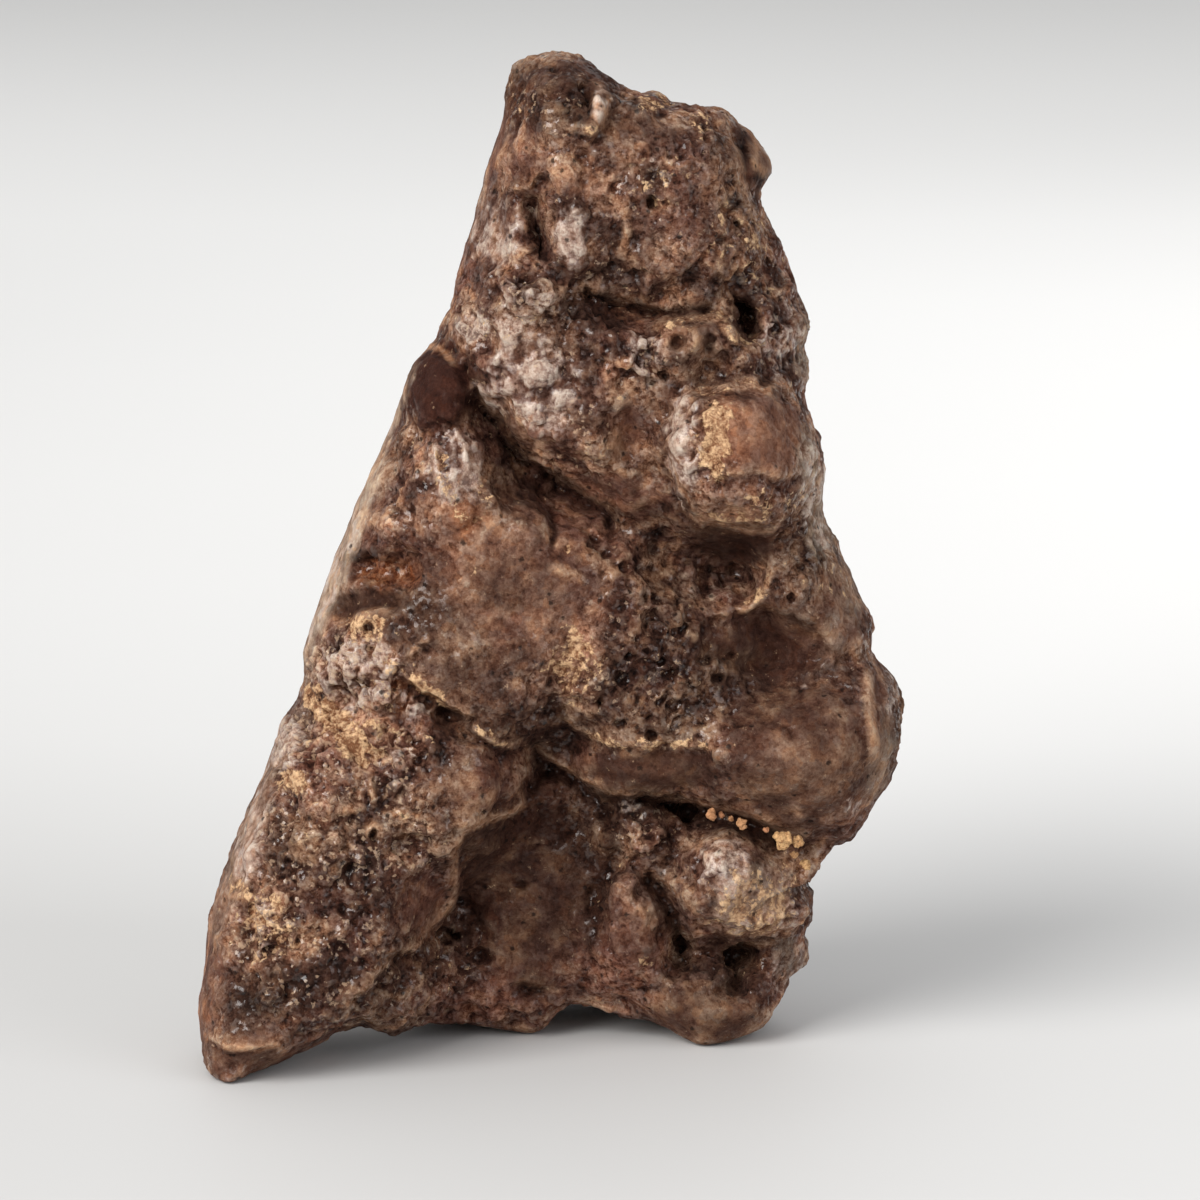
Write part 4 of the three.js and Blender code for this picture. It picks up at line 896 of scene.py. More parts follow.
# where each finish lies on the front: (across, up, half width, half height, turn, strength)
stoneTint = {
    "soil": [
        (11.8, 49.2, 1.2, 3.2, 0, 1.2), (15.3, 44.2, 1.2, 0.8, 20, 0.9), (-18.4, 29.3, 1.2, 0.8, -45, 1.0),
        (-14.4, 27.2, 2.4, 0.5, -6, 0.5), (-20.6, 23.2, 1.3, 1.0, 0, 0.9), (-24.8, 15.2, 0.9, 0.9, 0, 0.9),
        (-22.2, 12, 2.0, 3.0, 10, 0.75), (-14.6, 34.9, 1.6, 1.2, 0, 0.8), (-13, 39.3, 1.8, 0.6, 0, 0.45),
        (-7, 43.2, 1.2, 0.8, 0, 0.6), (14.8, 13.8, 3.0, 2.5, 0, 0.9), (17.2, 14.2, 1.6, 2.0, 0, 0.6),
        (0.3, 40.8, 0.7, 0.7, 0, 0.9), (7, 74.5, 1.2, 1.0, 0, 0.8), (10.8, 72.9, 1.0, 0.9, 0, 0.6),
        (2.1, 72.3, 0.8, 0.8, 0, 0.6), (0.4, 67.5, 0.9, 1.4, 0, 0.6), (-3, 74.5, 1.4, 1.2, 0, 0.6),
        (-10.5, 29.8, 1.2, 0.6, 0, 0.8), (-9.5, 26.5, 1.0, 0.7, 0, 0.6), (6.7, 9.1, 0.5, 0.5, 0, 0.9),
        (-9, 9, 3, 2, 30, 0.45), (1.2, 32.2, 2.6, 2.8, 0, 0.7), (-3.5, 33, 2, 1.2, 0, 0.4),
        (-5, 38.5, 3, 1.2, -10, 0.45), (-1.8, 66, 0.9, 1.5, 0, 0.5), (13.5, 63, 2.5, 4, 20, 0.45),
        (8.5, 57.6, 2.0, 0.8, 20, 0.55), (-12, 30.5, 3, 2, 0, 0.6), (-5.5, 44.5, 1.3, 1.6, 0, 0.4),
        (7.6, 68.5, 2.0, 2.4, 0, 0.45), (18, 44.5, 1.2, 2.0, 0, 0.4), (21, 38, 1.5, 4, -25, 0.4),
    ],
    "soilLines": [
        (1.0, 1.7, [(-19.0, 29.6), (-18.2, 28.6), (-17.2, 27.8), (-16.4, 26.9), (-15.5, 25.9),
            (-14.6, 25.0), (-13.9, 24.3)]),
        (0.45, 0.9, [(-16.4, 27.2), (-14.6, 27.3), (-12.4, 26.6)]),
        (0.5, 0.9, [(-16, 34.2), (-15.6, 35.4), (-14.6, 35.9), (-13.4, 35.6), (-12.9, 34.8)]),
        (0.4, 1.0, [(-11.9, 31.4), (-11, 30.5), (-10.1, 29.9), (-9.2, 29.4), (-8.6, 28.9), (-7.4, 28.3)]),
        (0.35, 0.8, [(-6.9, 27.7), (-5.8, 26.6), (-4.8, 26.0), (-3.9, 25.8), (-3.0, 26.1)]),
        (0.4, 0.7, [(1.2, 27.2), (2.2, 26.4), (4, 25.9), (6, 25.6), (8, 25.9), (10, 25.6), (12.3, 25.5)]),
        (0.45, 0.8, [(10.2, 43.6), (12, 43.3), (14.6, 43.0), (17, 43.3)]),
        (0.35, 0.7, [(6.9, 57.3), (9.5, 58.2), (12.2, 58.4), (13.6, 56.8), (15.5, 56.1)]),
        (0.4, 0.6, [(-9.4, 49), (-8.9, 46.5), (-8.3, 44.4), (-7.2, 42.6)]),
        (0.3, 0.7, [(13.1, 36.2), (15, 37.1), (16, 38.8)]),
        (0.35, 0.6, [(-25, 15.3), (-23.6, 14.4), (-22.4, 14.2)]),
        (0.35, 0.6, [(-21.9, 23.6), (-20.6, 22.9), (-19.2, 23.6)]),
    ],
    # pale film: a lilac-grey film on the crust, its lightness partly painted sheen
    "pale": [
        (-5, 65, 2.0, 3.2, 0, 0.6), (0.9, 64.4, 1.3, 2.4, 0, 0.8), (-1.2, 53, 2.4, 3.4, 10, 1.0),
        (-8.2, 47, 2.2, 3, 0, 0.8), (9.3, 48.5, 1.1, 4.2, 0, 0.9), (-6.7, 57.4, 1.2, 1.2, 0, 0.9),
        (-2.4, 59.9, 2.4, 1.2, -22, 0.5), (-24, 17.4, 0.9, 1.8, -15, 1.0), (6.4, 55.8, 1.3, 1.6, 0, 0.9),
        (-22.6, 12.2, 0.8, 2.4, 0, 0.7), (-23.2, 22, 1.2, 7, -17, 0.5), (-18, 38, 0.7, 7, -21, 0.8),
        (-13.6, 50.2, 0.7, 5, -26, 0.5), (6.3, 56.2, 0.9, 0.9, 0, 0.6), (5.4, 20.9, 0.9, 0.7, 0, 0.9),
        (-15.3, 31.5, 3.4, 2.8, 0, 0.8), (-11, 29, 1.4, 1.2, 0, 0.9), (-21, 26, 1.4, 2.4, -30, 0.9),
        (14.7, 14.2, 2.8, 2.5, 0, 0.6), (12.6, 16.6, 1.8, 1.8, 0, 0.7), (17.2, 13.6, 1.6, 2.0, 0, 0.6),
        (17.4, 8.6, 1.4, 1.8, 0, 0.5), (2.9, 74.2, 0.5, 1.5, 0, 0.5), (3.6, 75, 0.9, 0.9, 0, 0.5),
        (19.6, 44.5, 1.2, 5, 8, 0.6), (22.4, 37, 1.6, 4.5, -22, 0.2), (17, 57, 1.6, 3, 0, 0.6),
        (25.3, 29.5, 0.5, 3, 0, 0.5), (-3.4, 57, 1.6, 1.6, 0, 0.7), (-4.5, 53.5, 1.6, 2.4, -30, 0.8),
        (16, 72.4, 0.8, 1.6, -20, 0.35), (-12, 24.5, 1.5, 2, 0, 0.4), (7.4, 69.6, 0.9, 0.8, 0, 0.6),
        (-3.5, 55.5, 1.4, 1.4, 0, 0.6), (13.5, 12, 1.2, 1.0, 0, 0.5), (22.6, 21, 0.5, 0.5, 0, 0.9),
        (19, 30.5, 0.3, 0.2, 0, 0.9),
    ],
    # painted sheen: pale grey where the flanks turn away at a grazing angle and where lumps catch the light
    "flankSheen": [
        (-18.4, 36.8, 1.1, 7.5, -21, 1.0), (-15.4, 44, 1.0, 5, -22, 1.0), (-13.2, 51, 0.8, 4, -24, 1.0),
        (-10.6, 57.4, 0.9, 1.6, -20, 0.6), (19.5, 45, 1.1, 4.5, 8, 1.0), (22.4, 37, 1.2, 5, -22, 0.35),
        (19, 56, 0.8, 3, 0, 0.6), (24.6, 24.5, 1.0, 3, -10, 0.4), (-24.4, 17, 1.1, 5.5, -16, 0.5),
        (-21.2, 25.5, 0.9, 3, -28, 0.5), (-9.4, 61, 0.9, 4, -14, 0.5), (14.8, 13.8, 2.8, 2.6, 0, 0.6),
        (17.6, 9, 1.2, 1.8, 0, 0.5), (-6, 71, 0.6, 4, -6, 0.4),
    ],
    "red": [
        (15, 47.5, 3.6, 4, 0, 0.8), (1.5, 43.6, 2.2, 2, 0, 0.6), (-23, 18.5, 0.8, 2.8, 0, 0.5),
        (-13.4, 38.9, 2.4, 1.2, 0, 0.5), (10.5, 69, 2, 3, 0, 0.35), (-4, 6, 4, 2, 0, 0.5),
        (16.5, 7.8, 2, 2, 0, 0.6), (-5.5, 50, 1.5, 2.5, 0, 0.4),
    ],
    "rust": [
        (-13.2, 39.1, 2.3, 1.2, 0, 0.9), (-7.0, 43.0, 1.2, 1.2, 0, 0.6), (-25.2, 12.2, 0.7, 1.0, 0, 0.5),
        (-12, 29.6, 0.8, 1.1, 0, 0.8), (12.6, 50, 1.6, 3.0, 0, 0.4), (-27, 5.6, 0.5, 0.9, 0, 0.4),
        (-3, 74.6, 1.2, 1.4, 0, 0.3), (5.5, 58.8, 2.4, 0.7, 0, 0.3),
    ],
    "warm": [
        (-5, 40, 5, 3.4, 0, 0.25), (1, 32.5, 3.2, 3.4, 0, 0.8), (13, 44.2, 3.4, 1.4, 0, 0.7),
        (14.5, 48.5, 3.4, 3.6, 0, 0.6), (7.5, 57, 2, 1.6, 0, 0.5), (-22.5, 11.5, 2.4, 4, 0, 0.6),
        (9, 23.8, 3, 0.6, 0, 0.3), (-9, 43, 3, 2, 0, 0.5), (14.6, 13.8, 2.6, 2.4, 0, 0.8),
        (-15, 30, 3.4, 3, 0, 0.6), (19, 24, 3.5, 3.5, 0, 0.3), (4, 69, 4, 3, 0, 0.3),
    ],
    # dark patches: the crust's own dark brown, as on the knob, and painted shade in the recesses, crevices
    # and pits, under the boss and under the block
    "dark": [
        (-9.4, 53.2, 2.4, 3.4, 8, 1.2), (-2.5, 15.5, 5.6, 9, 0, 0.6), (15.4, 31.5, 5.6, 4.8, 0, 0.6),
        (7, 23.8, 6, 1.5, 0, 0.6), (-13.4, 39.2, 2.7, 1.4, 0, 0.35), (-14.7, 36.7, 3.2, 1.2, 5, 0.75),
        (-0.5, 75.3, 4.4, 2.8, 0, 0.65), (7, 67, 6.5, 6.5, 0, 0.15), (6, 38, 4.5, 3, 0, 0.3),
        (7, 43, 3, 1.5, 0, 0.4), (-3.5, 38.5, 3.0, 2.0, 0, 0.4), (-11, 36, 2.4, 2.4, 0, 0.4),
        (-6, 31.5, 3.4, 1.6, 0, 0.4), (-15, 15, 5.5, 7.5, 0, 0.35), (15.5, 48.5, 3, 3, 0, 0.25),
        (-5, 65, 2, 3, 0, 0.2), (6.5, 21.8, 3.6, 0.8, -4, 1.0), (3.4, 58.4, 2.2, 1.0, 0, 0.8),
        (2.4, 55.4, 1.2, 1.6, 0, 0.6), (-14.6, 40.4, 2.2, 0.5, 5, 0.9), (0.4, 76.4, 3.2, 1.2, -8, 0.7),
        (1.3, 74, 1.0, 1.4, 0, 0.9), (13.9, 71.3, 0.6, 1.4, 0, 1.0), (15.2, 69, 0.9, 0.5, 0, 0.9),
        (-0.5, 76.5, 3.2, 1.6, 0, 0.4), (12, 61, 3, 1.2, 0, 0.4), (-15, 8, 5, 2.5, 30, 0.5),
        (-21.5, 7.2, 4.5, 2.2, 5, 0.6), (-10, 36, 2.2, 1.5, 0, 0.55), (-4.2, 36.8, 1.8, 0.8, 0, 0.55),
        (-6.5, 30.5, 3.0, 2.0, 0, 0.35), (13.5, 41.2, 3.0, 1.4, 0, 0.7), (18.5, 25, 6.5, 6.5, 0, 0.35),
        (4.5, 29.5, 3.5, 3.0, 0, 0.35), (-11, 41.5, 1.6, 3.0, 0, 0.35), (-2.5, 45.5, 2.4, 1.4, -30, 0.4),
        (8, 31, 5.4, 5, 0, 0.6), (11, 5.5, 4.5, 3, 0, 0.45), (14, 8.5, 2.2, 2.2, 0, 0.8),
        (3, 59.5, 2, 0.8, 0, 0.6), (14, 58.3, 1.4, 2.2, 0, 0.7), (-1.5, 27, 4, 2, 0, 0.6),
    ],
    "wine": [(-9.4, 53.2, 2.5, 3.5, 8, 1.2)],
    "olive": [
        (-7.5, 32.5, 4.8, 5.2, 0, 0.9), (-14.4, 36.8, 3.6, 1.5, 0, 0.9), (3.5, 48, 2.2, 3.4, 30, 0.5),
        (18, 38, 3.5, 4.5, 0, 0.5), (19.5, 25, 6, 6, 0, 0.75), (-24, 4, 4.5, 4, 0, 0.9),
        (6, 13, 2.6, 3.6, 0, 0.6), (11, 5, 4.5, 3, 0, 0.5), (-5, 34, 6, 5, 0, 0.5), (9, 64.5, 4, 4, 0, 0.4),
        (12.5, 44, 3, 1.4, 0, 0.4), (15.6, 71, 1.2, 2.2, 0, 0.95),
    ],
    "masks": ("soil", "pale", "flankSheen", "red", "rust", "warm", "dark", "wine", "olive"),
    "soilTint": ("#80553a", "#eec699"), "darkest": "#26140d", "brown": "#583f35", "tan": "#8a6e58",
    "clay": "#8c6c58", "redBrown": "#664237", "rustBrown": "#7f4f30", "oliveBrown": "#5e4a3c",
    "sheenGrey": "#928575", "wineBrown": "#3b2119", "nodule": "#cdb297", "glint": "#bd9c7c",
    "filmGap": "#63473a", "cream": "#cdb698", "paleFilm": "#ad9c92", "pinHoleShade": "#1a100c",
    "wander": (1.5, 0.7),  # size and shift of the noise that bends the patches
    "patchSoft": 0.45,
    "hollowRounds": (2, 10), "hollowScale": (0.085, 0.42),  # near and wide: rounds of averaging, millimetres
    "blotches": ((7, 221, 2), (2.6, 231, 3), (0.9, 241, 2)),  # broad, middle and fine: (size, seed, octaves)
    "bend": (1.1, 0.3), "chips": (1.7, 251), "flakes": (0.8, 261),
    # shadeRange also carries the painted highlight on crests and the painted shade in hollows that
    # crestShading lays on the tone
    "shadeRange": (0.22, 2.45),  # how far the grit darkens and lightens the colour
    "shadeLean": ((1.08, 0.72, 0.58, 1), (0.95, 1.06, 1.09, 1)),  # hue of the darks and of the lights
    "hueLean": ((1.1, 0.99, 0.88, 1), (0.94, 0.99, 1.06, 1)),  # crumbs that lean to yellow and to blue
    "gritSize": 1.0, "holes": 0.07, "holeShade": 0.8, "filmCover": 0.4, "soilCover": 0.88, "glintCover": 0.5,
    "gloss": (0.86, 0.36),  # roughness of bare crust and of film
    "specular": 0.1, "coatRoughness": 0.2, "filmGlaze": 0.45, "fleckGlaze": 0.7,
    "bump": 0.00027, "bumpStrength": 0.9,  # bump in metres
}


def hollowOf(mesh, points, rounds, scale):
    # how far each point lies below the average of its surroundings, as a share of scale, -1.5 to 1.5
    below = averaged(points, readFlat(mesh.edges, "vertices", 2, np.int32), rounds) - points
    return np.clip((below * normalsOf(mesh)).sum(axis=1) / scale, -1.5, 1.5)


def mixed(base, code, share):
    # each point's colour moved towards one colour by its share
    return base + (np.array(colour(code)[:3]) - base) * np.clip(share, 0, 1)[:, None]


def tintStone(mesh, tint, relief, grain):
    # colour of each point, and the masks that the finish breaks up further, all from the place and the shape
    points, face = pointsOf(mesh), faceOf(pointsOf(mesh))
    toward = smooth(-0.15, 0.25, normalsOf(mesh) @ toViewer)
    size, shift = tint["wander"]
    bent = face + shift * np.stack([rough(points, size, seed, 2) for seed in (201, 211)], axis=1)
    near, wide = (hollowOf(mesh, points, *pair) for pair in zip(tint["hollowRounds"], tint["hollowScale"]))
    # crestShading is how convex each point is and dipSoilAndShade how hollow: the colour is painted lighter
    # on crests as painted highlight and darker in dips as painted shade, and dips also gather soil
    crestShading, dipSoilAndShade = np.clip(-0.6 * near - 0.5 * wide, 0, 1.5), np.clip(0.6 * near + 0.5 * wide, 0, 1.5)
    broad, middle, fine = (rough(points, size, seed, octaves) for size, seed, octaves in tint["blotches"])
    middle *= 0.5 + 0.5 * toward
    masks = {name: patch(bent, tint[name], tint["patchSoft"]) * toward for name in tint["masks"]}
    lip, hollowShade = (mask * toward for mask in reliefOn(face, relief)[1:])
    calm, spongy, crumbly = (share * toward for share in grainOn(points, face, grain, lip)[1:])

    # the broad colours, with painted shade in the dips and recesses and painted sheen on the flanks
    base = np.tile(np.array(colour(tint["brown"])[:3]), (len(points), 1))
    base = mixed(base, tint["tan"], 0.7 * smooth(-0.1, 0.5, middle) + 0.1 * crestShading)
    base = mixed(base, tint["redBrown"], 0.5 * smooth(0.1, 0.5, broad + 0.5 * fine))
    base = mixed(base, tint["oliveBrown"], 0.5 * smooth(0.1, 0.5, -broad + 0.5 * middle))
    # gloom: dark blotches at chance, and painted shade in the dips
    gloom = 0.5 * smooth(0.0, 0.6, -middle + 0.5 * fine) + 0.25 * dipSoilAndShade
    base = mixed(base, tint["darkest"], gloom * (1 - 0.6 * calm))
    base = mixed(base, tint["oliveBrown"], 0.7 * masks["olive"] * (0.8 + 0.5 * middle))
    base = mixed(base, tint["redBrown"], masks["red"] * (0.7 + 0.4 * fine))
    base = mixed(base, tint["clay"], masks["warm"] * (0.7 + 0.6 * middle))
    base = mixed(base, tint["rustBrown"], masks["rust"] * (0.8 + 0.5 * fine))
    # the dark patches take the darkest colour and are darkened further below: dark crust, and painted shade
    # in the recesses
    base = mixed(base, tint["darkest"], masks["dark"] * (0.85 + 0.3 * fine))
    base = mixed(base, tint["wineBrown"], masks["wine"])
    # painted sheen on the flanks and on lumps that catch the light
    base = mixed(base, tint["sheenGrey"], masks["flankSheen"] * (0.8 + 0.4 * fine))
    base *= (1 + 0.5 * middle * (1 - 0.6 * calm))[:, None] * (1 - 0.4 * masks["dark"])[:, None]

    # chips and flakes of chance tone, tan on the lips, partly painted highlight, painted shade in the
    # hollows, and dark and pale nodules where it is crumbly
    size, shift = tint["bend"]
    bentPoints = points + shift * np.stack([rough(points, size, seed, 2) for seed in (271, 272, 273)], 1)
    chipTone = cells(bentPoints, *tint["chips"])[1]
    flakeGap, flakeTone = cells(bentPoints, *tint["flakes"])
    broken = 0.15 + 0.85 * crumbly
    base *= 1 + (0.5 * (chipTone - 0.5) * broken + 0.4 * (flakeTone - 0.5) * broken)[:, None]
    # tan on the lips and raised lines: partly the crust's own tan veins, partly painted highlight where the
    # edges catch the light
    base = mixed(base, tint["tan"], 0.8 * lip)
    # painted shade in the grooves and pits and under the ledges
    base = mixed(base, tint["darkest"], 0.75 * hollowShade)
    spot = (1 - smooth(0.3, 0.44, flakeGap)) * np.maximum(crumbly, 0.4 * spongy)
    base = mixed(base, tint["darkest"], 0.5 * (1 - smooth(0.1, 0.2, flakeTone)) * spot)
    nodule = smooth(0.82, 0.88, flakeTone) * spot * (1 - 0.7 * masks["dark"])
    base = mixed(base, tint["nodule"], 0.75 * nodule)

    # the film, a lilac-grey crust partly painted as sheen, and the soil, which the finish breaks up
    # pale is stronger on crests and weaker in dips: painted highlight on the film
    pale = smooth(0.2, 0.7, masks["pale"] * (0.6 + 0.6 * middle + 0.5 * fine + 0.45 * crestShading - 0.35 * dipSoilAndShade))
    film = np.clip(smooth(0.2, 0.6, fine + 0.5 * middle) * 0.7 * (1 - masks["dark"]) + pale, 0, 1)
    base = mixed(base, tint["paleFilm"], 0.6 * pale)
    lines = np.zeros(len(points))
    for half, strength, line in tint["soilLines"]:
        close, away, _, share = alongLine(bent, line, half * 2)
        lines[close] = np.maximum(lines[close], strength * smooth(half * 1.4, half * 0.6, away) * share)
    laid = 0.75 * np.maximum(masks["soil"], lines * toward)
    soil = laid + 0.1 * dipSoilAndShade + 0.22 * lip + 0.35 * middle * (0.5 + 0.5 * crumbly)
    soil = np.clip(soil - 0.5 * hollowShade - 0.4 * masks["dark"] - 0.15 * calm, 0, 1)
    layer = mesh.attributes.new("tint", "FLOAT_COLOR", "POINT")
    layer.data.foreach_set("color", np.column_stack([base, np.ones(len(base))]).astype(np.float32).ravel())
    busy = (1 - 0.6 * calm) * (1 - 0.5 * masks["flankSheen"].clip(0, 1)) * (0.45 + 0.55 * toward)
    setAttribute(mesh, "soil", soil)
    setAttribute(mesh, "film", film)
    setAttribute(mesh, "crestShading", 0.5 - 0.33 * near)
    setAttribute(mesh, "busy", busy)
    setAttribute(mesh, "crumbly", np.clip(crumbly + 0.5 * (1 - toward), 0, 1))
    print("stone coloured")


def addNode(tree, kind, values=None, **properties):
    # a node with its properties, and its inputs set to a number or joined to an output
    node = tree.nodes.new(kind)
    for key, value in properties.items():
        setattr(node, key, value)
    for key, value in (values or {}).items():
        if isinstance(value, bpy.types.NodeSocket):
            tree.links.new(value, node.inputs[key])
        else:
            node.inputs[key].default_value = value
    return node


def mathNode(tree, operation, first, second=0.0, third=0.0):
    return addNode(tree, "ShaderNodeMath", {0: first, 1: second, 2: third}, operation=operation).outputs[0]


def mixNode(tree, share, first, second, blend="MIX"):
    # inputs 6 and 7 and output 2 are the colour ones
    node = addNode(tree, "ShaderNodeMix", {0: share, 6: first, 7: second}, data_type="RGBA", blend_type=blend)
    return node.outputs[2]


def timesNode(tree, first, second):
    return mixNode(tree, 1.0, first, second, "MULTIPLY")


def greyNode(tree, value):
    return addNode(tree, "ShaderNodeCombineColor", {0: value, 1: value, 2: value}).outputs[0]


def attributeNode(tree, name):
    return addNode(tree, "ShaderNodeAttribute", attribute_name=name).outputs["Fac"]


def newMaterial(name):
    material = bpy.data.materials.new(name)
    material.use_nodes = True
    return material, material.node_tree, material.node_tree.nodes["Principled BSDF"]


def joinBump(tree, shader, height, setting):
    inputs = {"Height": height, "Strength": setting["bumpStrength"], "Distance": setting["bump"]}
    bump = addNode(tree, "ShaderNodeBump", inputs)
    tree.links.new(bump.outputs["Normal"], shader.inputs["Normal"])


def rangeNode(tree, value, low, high, start=0.0, end=1.0):
    # start up to low, end from high, easing in and out
    names = {"Value": value, "From Min": low, "From Max": high, "To Min": start, "To Max": end}
    return addNode(tree, "ShaderNodeMapRange", names, interpolation_type="SMOOTHSTEP").outputs[0]


def makeGritGroup():
    # fine grit for crust and soil alike: uneven colour, crumbs of chance tone and hue at two sizes, dark pin
    # holes and a height
    group = bpy.data.node_groups.new("grit", "ShaderNodeTree")
    for name, kind, value in (("Place", "NodeSocketVector", None), ("Size", "NodeSocketFloat", 1.0),
                              ("Holes", "NodeSocketFloat", 0.5)):
        socket = group.interface.new_socket(name, in_out="INPUT", socket_type=kind)
        if value is not None:
            socket.default_value = value
    for name in ("Uneven", "Fine", "Crumb", "Hue", "Grain", "Hole", "Height"):
        group.interface.new_socket(name, in_out="OUTPUT", socket_type="NodeSocketFloat")
    inside, outside = group.nodes.new("NodeGroupInput"), group.nodes.new("NodeGroupOutput")
    place, size = inside.outputs["Place"], inside.outputs["Size"]

    def scaled(per):
        return mathNode(group, "DIVIDE", per, size)

    def noise(per, detail, roughness):
        inputs = {"Vector": place, "Scale": scaled(per), "Detail": detail, "Roughness": roughness}
        return addNode(group, "ShaderNodeTexNoise", inputs)

    def crumbled(per):
        node = addNode(group, "ShaderNodeTexVoronoi", {"Vector": bent, "Scale": scaled(per)}, feature="F1")
        return node, addNode(group, "ShaderNodeSeparateColor", {"Color": node.outputs["Color"]})

    uneven, fine = noise(1.1, 7.0, 0.74), noise(4.0, 4.0, 0.75)
    push = {0: fine.outputs["Color"], 1: (0.5, 0.5, 0.5)}
    push = addNode(group, "ShaderNodeVectorMath", push, operation="MULTIPLY").outputs[0]
    bent = addNode(group, "ShaderNodeVectorMath", {0: place, 1: push}, operation="ADD").outputs[0]
    crumbs, crumb = crumbled(1.5)
    grain = crumbled(3.4)[1]
    core = rangeNode(group, crumbs.outputs["Distance"], 0.15, 0.36, 1.0, 0.0)
    limit = mathNode(group, "SUBTRACT", 1.0, inside.outputs["Holes"])
    hole = mathNode(group, "MULTIPLY", core, mathNode(group, "GREATER_THAN", crumb.outputs[2], limit))
    rise = fine.outputs[0]
    for value, strength in ((uneven.outputs[0], 1.6), (crumbs.outputs["Distance"], -0.5),
                            (crumb.outputs[0], 0.3), (grain.outputs[0], 0.2)):
        rise = mathNode(group, "MULTIPLY_ADD", value, strength, rise)
    height = mathNode(group, "SUBTRACT", rise, hole)
    results = {"Uneven": uneven.outputs[0], "Fine": fine.outputs[0], "Crumb": crumb.outputs[0],
               "Hue": crumb.outputs[1], "Grain": grain.outputs[0], "Hole": hole, "Height": height}
    for name, value in results.items():
        group.links.new(value, outside.inputs[name])
    return group


def millimetres(tree):
    # the place on the piece in millimetres
    place = tree.nodes.new("ShaderNodeTexCoord").outputs["Object"]
    return addNode(tree, "ShaderNodeMapping", {"Vector": place, "Scale": (1 / unit,) * 3}).outputs[0]


def makeCrust(tint, grit):
    # the colour laid on the points, broken up by the grit and painted lighter on crests and darker in hollows
    # as painted light and shade, then film (partly painted sheen), soil, painted glints and pin holes with
    # painted shade in them over it
    material, tree, shader = newMaterial("ironCrust")
    inputs = {"Place": millimetres(tree), "Size": tint["gritSize"], "Holes": tint["holes"]}
    grits = addNode(tree, "ShaderNodeGroup", inputs, node_tree=grit).outputs
    uneven, fine, crumb, hue, grain = (grits[name] for name in ("Uneven", "Fine", "Crumb", "Hue", "Grain"))
    base = addNode(tree, "ShaderNodeAttribute", attribute_name="tint").outputs["Color"]
    soil, film, crestShading, busy, crumbly = (attributeNode(tree, name)
                                        for name in ("soil", "film", "crestShading", "busy", "crumbly"))

    def plus(total, value, strength, middle=0.5):
        # total plus strength times how far the value is from its middle
        return mathNode(tree, "MULTIPLY_ADD", mathNode(tree, "SUBTRACT", value, middle), strength, total)

    tone = plus(plus(plus(plus(0.0, uneven, 2.9), fine, 2.8), crumb, 0.35), grain, 0.6)
    # crestShading makes the tone lighter on convex points and darker in hollows, as painted highlight and
    # painted shade, and this carries into the crust, film and soil colours
    tone = plus(mathNode(tree, "MULTIPLY", tone, busy), crestShading, 0.8)
    shade = greyNode(tree, rangeNode(tree, tone, -1.05, 1.05, *tint["shadeRange"]))
    warmth = mixNode(tree, rangeNode(tree, tone, -1.1, 0.9), *tint["shadeLean"])
    crust = timesNode(tree, timesNode(tree, base, shade), warmth)
    crust = timesNode(tree, crust, mixNode(tree, hue, *tint["hueLean"]))
    filmed = rangeNode(tree, plus(plus(film, uneven, 1.4), crumb, 0.3), 0.55, 0.8)
    filmLight = mixNode(tree, hue, colour(tint["paleFilm"]), colour(tint["cream"]))
    filmTone = mixNode(tree, rangeNode(tree, tone, -0.6, 0.8), colour(tint["filmGap"]), filmLight)
    cover = rangeNode(tree, plus(plus(plus(soil, uneven, 1.8), grain, 0.35), crumb, 0.35), 0.44, 0.6)
    soilTone = mixNode(tree, rangeNode(tree, tone, -0.5, 0.9), *map(colour, tint["soilTint"]))
    bright = rangeNode(tree, plus(plus(grain, crumbly, 0.2, 0.0), fine, 0.4), 1.0, 1.06)
    # film, soil and painted glints laid over the crust, and painted shade in the pin holes
    for mask, strength, layer in ((filmed, tint["filmCover"], filmTone), (cover, tint["soilCover"], soilTone),
                                  (bright, tint["glintCover"], colour(tint["glint"])),
                                  (grits["Hole"], tint["holeShade"], colour(tint["pinHoleShade"]))):
        crust = mixNode(tree, mathNode(tree, "MULTIPLY", mask, strength), crust, layer)
    tree.links.new(crust, shader.inputs["Base Color"])
    bare, filmy = tint["gloss"]
    dullness = mathNode(tree, "MULTIPLY_ADD", filmed, filmy - bare, bare)
    tree.links.new(mathNode(tree, "MULTIPLY_ADD", cover, 0.2, dullness), shader.inputs["Roughness"])
    shader.inputs["Specular IOR Level"].default_value = tint["specular"]
    shader.inputs["Coat Roughness"].default_value = tint["coatRoughness"]
    fleck = rangeNode(tree, plus(grain, fine, 0.6), 0.62, 0.8)
    fleck = mathNode(tree, "MULTIPLY", fleck, mathNode(tree, "SUBTRACT", 1.0, cover))
    fleck = mathNode(tree, "MULTIPLY", fleck, rangeNode(tree, busy, 0.35, 1.0, 0.0, tint["fleckGlaze"]))
    glaze = mathNode(tree, "MAXIMUM", mathNode(tree, "MULTIPLY", filmed, tint["filmGlaze"]), fleck)
    tree.links.new(glaze, shader.inputs["Coat Weight"])
    rise = mathNode(tree, "MULTIPLY", grits["Height"], mathNode(tree, "MULTIPLY_ADD", busy, 0.7, 0.3))
    joinBump(tree, shader, mathNode(tree, "MULTIPLY_ADD", cover, 0.25, rise), tint)
    return material


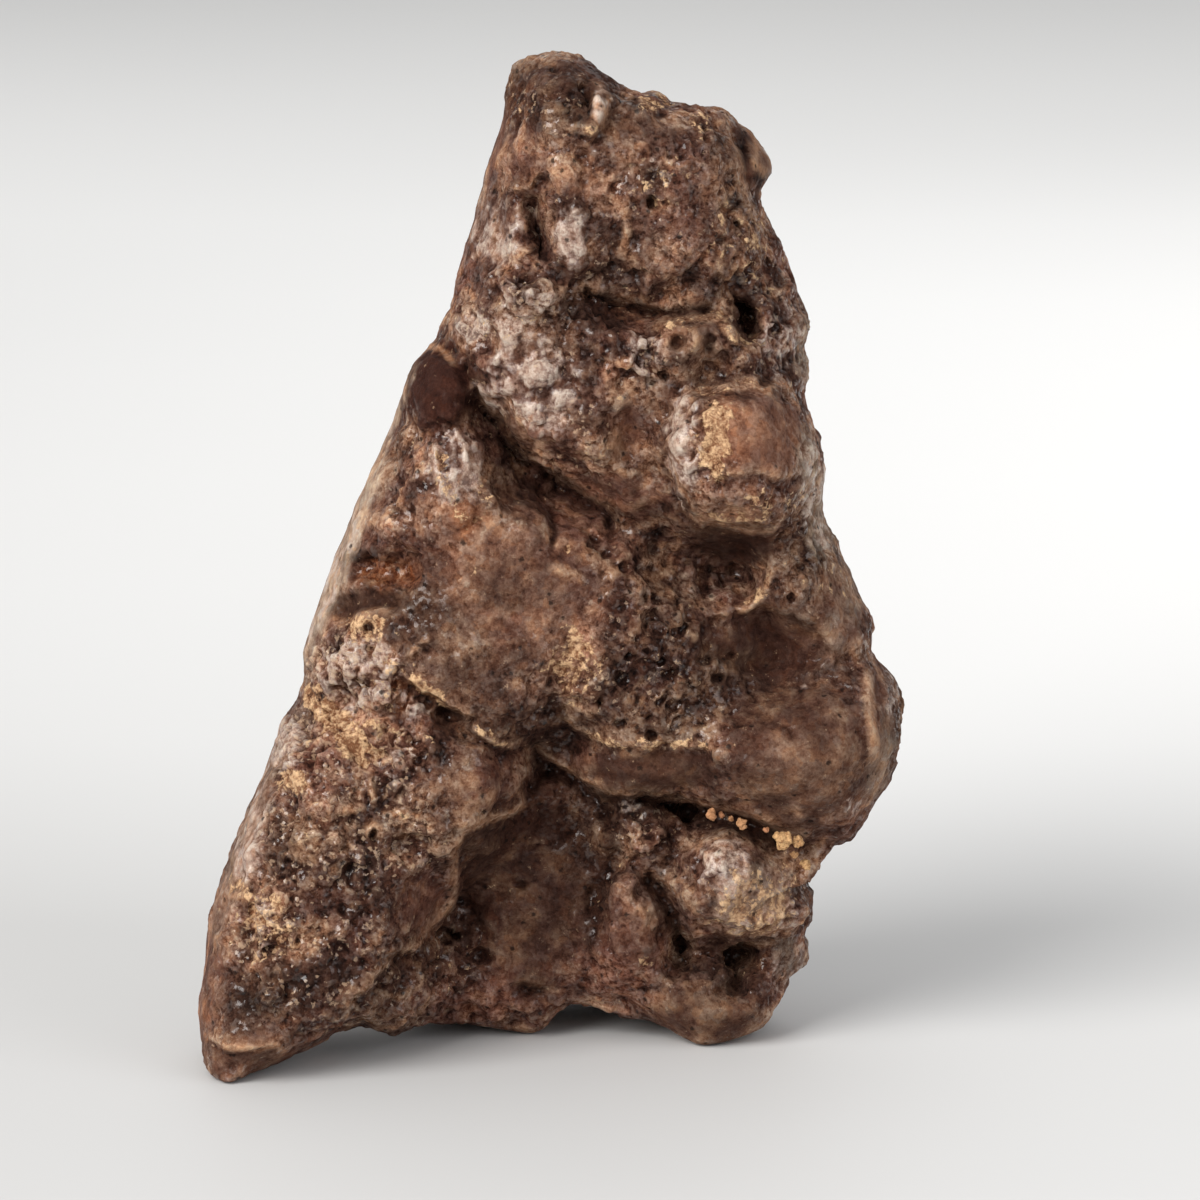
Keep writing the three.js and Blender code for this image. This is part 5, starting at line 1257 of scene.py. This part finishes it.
# the floor sheet in millimetres; lightTones are its greyness from front to back and lightLean how much it
# brightens to the right for each millimetre, both painted light for how the lamps fall off, and leanFade
# where that dies away: (from, to, what is left)
floorSetting = {
    "half": 1500.0,
    "lightTones": [
        (-44, 0.565), (-1, 0.572), (37, 0.58), (74, 0.660), (104, 0.722), (136, 0.765), (169, 0.802),
        (217, 0.839), (270, 0.863), (312, 0.87), (358, 0.853), (399, 0.803), (443, 0.752), (475, 0.705),
        (509, 0.65),
    ],
    "lightLean": 0.0018,
    "leanFade": (290, 430, 0.0002),
    "leanLimit": (0.85, 1.15),
    "warmth": (1, 1, 0.99),
    "roughness": 0.55,
}


def makeFloor(setting):
    # one flat square about the stone
    half = setting["half"]
    corners = np.array([(-half, -half, 0), (half, -half, 0), (half, half, 0), (-half, half, 0)], float)
    mesh = makeMesh("floor", toFrame(corners), [(0, 1, 2, 3)])
    material, tree, shader = newMaterial("paleFloor")
    place = addNode(tree, "ShaderNodeSeparateXYZ", {"Vector": millimetres(tree)})
    # the greyness along the depth and the brightening to the right are painted light, standing in for how the
    # lamps fall off over the sheet
    start, end = setting["lightTones"][0][0], setting["lightTones"][-1][0]
    inputs = {"Value": place.outputs["Y"], "From Min": start, "From Max": end}
    along = addNode(tree, "ShaderNodeMapRange", inputs)
    ramp = addNode(tree, "ShaderNodeValToRGB", {"Fac": along.outputs[0]})
    ramp.color_ramp.interpolation = "LINEAR"
    stops = ramp.color_ramp.elements
    for spot, tone in setting["lightTones"]:
        share = (spot - start) / (end - start)
        stop = stops[0] if share == 0 else stops[-1] if share == 1 else stops.new(share)
        stop.color = (*(tone * part for part in setting["warmth"]), 1)
    start, end, last = setting["leanFade"]
    lightLean = rangeNode(tree, place.outputs["Y"], start, end, setting["lightLean"], last)
    lightLean = mathNode(tree, "MULTIPLY_ADD", place.outputs["X"], lightLean, 1.0)
    least, most = setting["leanLimit"]
    lightLean = addNode(tree, "ShaderNodeClamp", {0: lightLean, 1: least, 2: most}).outputs[0]
    tone = timesNode(tree, ramp.outputs["Color"], greyNode(tree, lightLean))
    tree.links.new(tone, shader.inputs["Base Color"])
    shader.inputs["Roughness"].default_value = setting["roughness"]
    mesh.materials.append(material)
    floor = addObject("floor", mesh)


aimPoint = makeCamera(cameraSetting)
makeFloor(floorSetting)
makeLamps(lampSetting, aimPoint)
bpy.context.scene.view_settings.view_transform = "Standard"
print("camera, floor and lamps placed")

grit = makeGritGroup()
crust = makeCrust(stoneTint, grit)
stoneMesh = makeStoneMesh(stoneRelief, stoneGrain, stoneBuild)
tintStone(stoneMesh, stoneTint, stoneRelief, stoneGrain)
makePiece("meteoriteCrust", stoneMesh, "stone", crust)
drySoil = makeDrySoil(drySoilTint, grit)
for number in range(1, len(grainShape["fill"]) + 1):
    makeSoilGrain(number, grainShape, drySoil)
print("soil grains made")
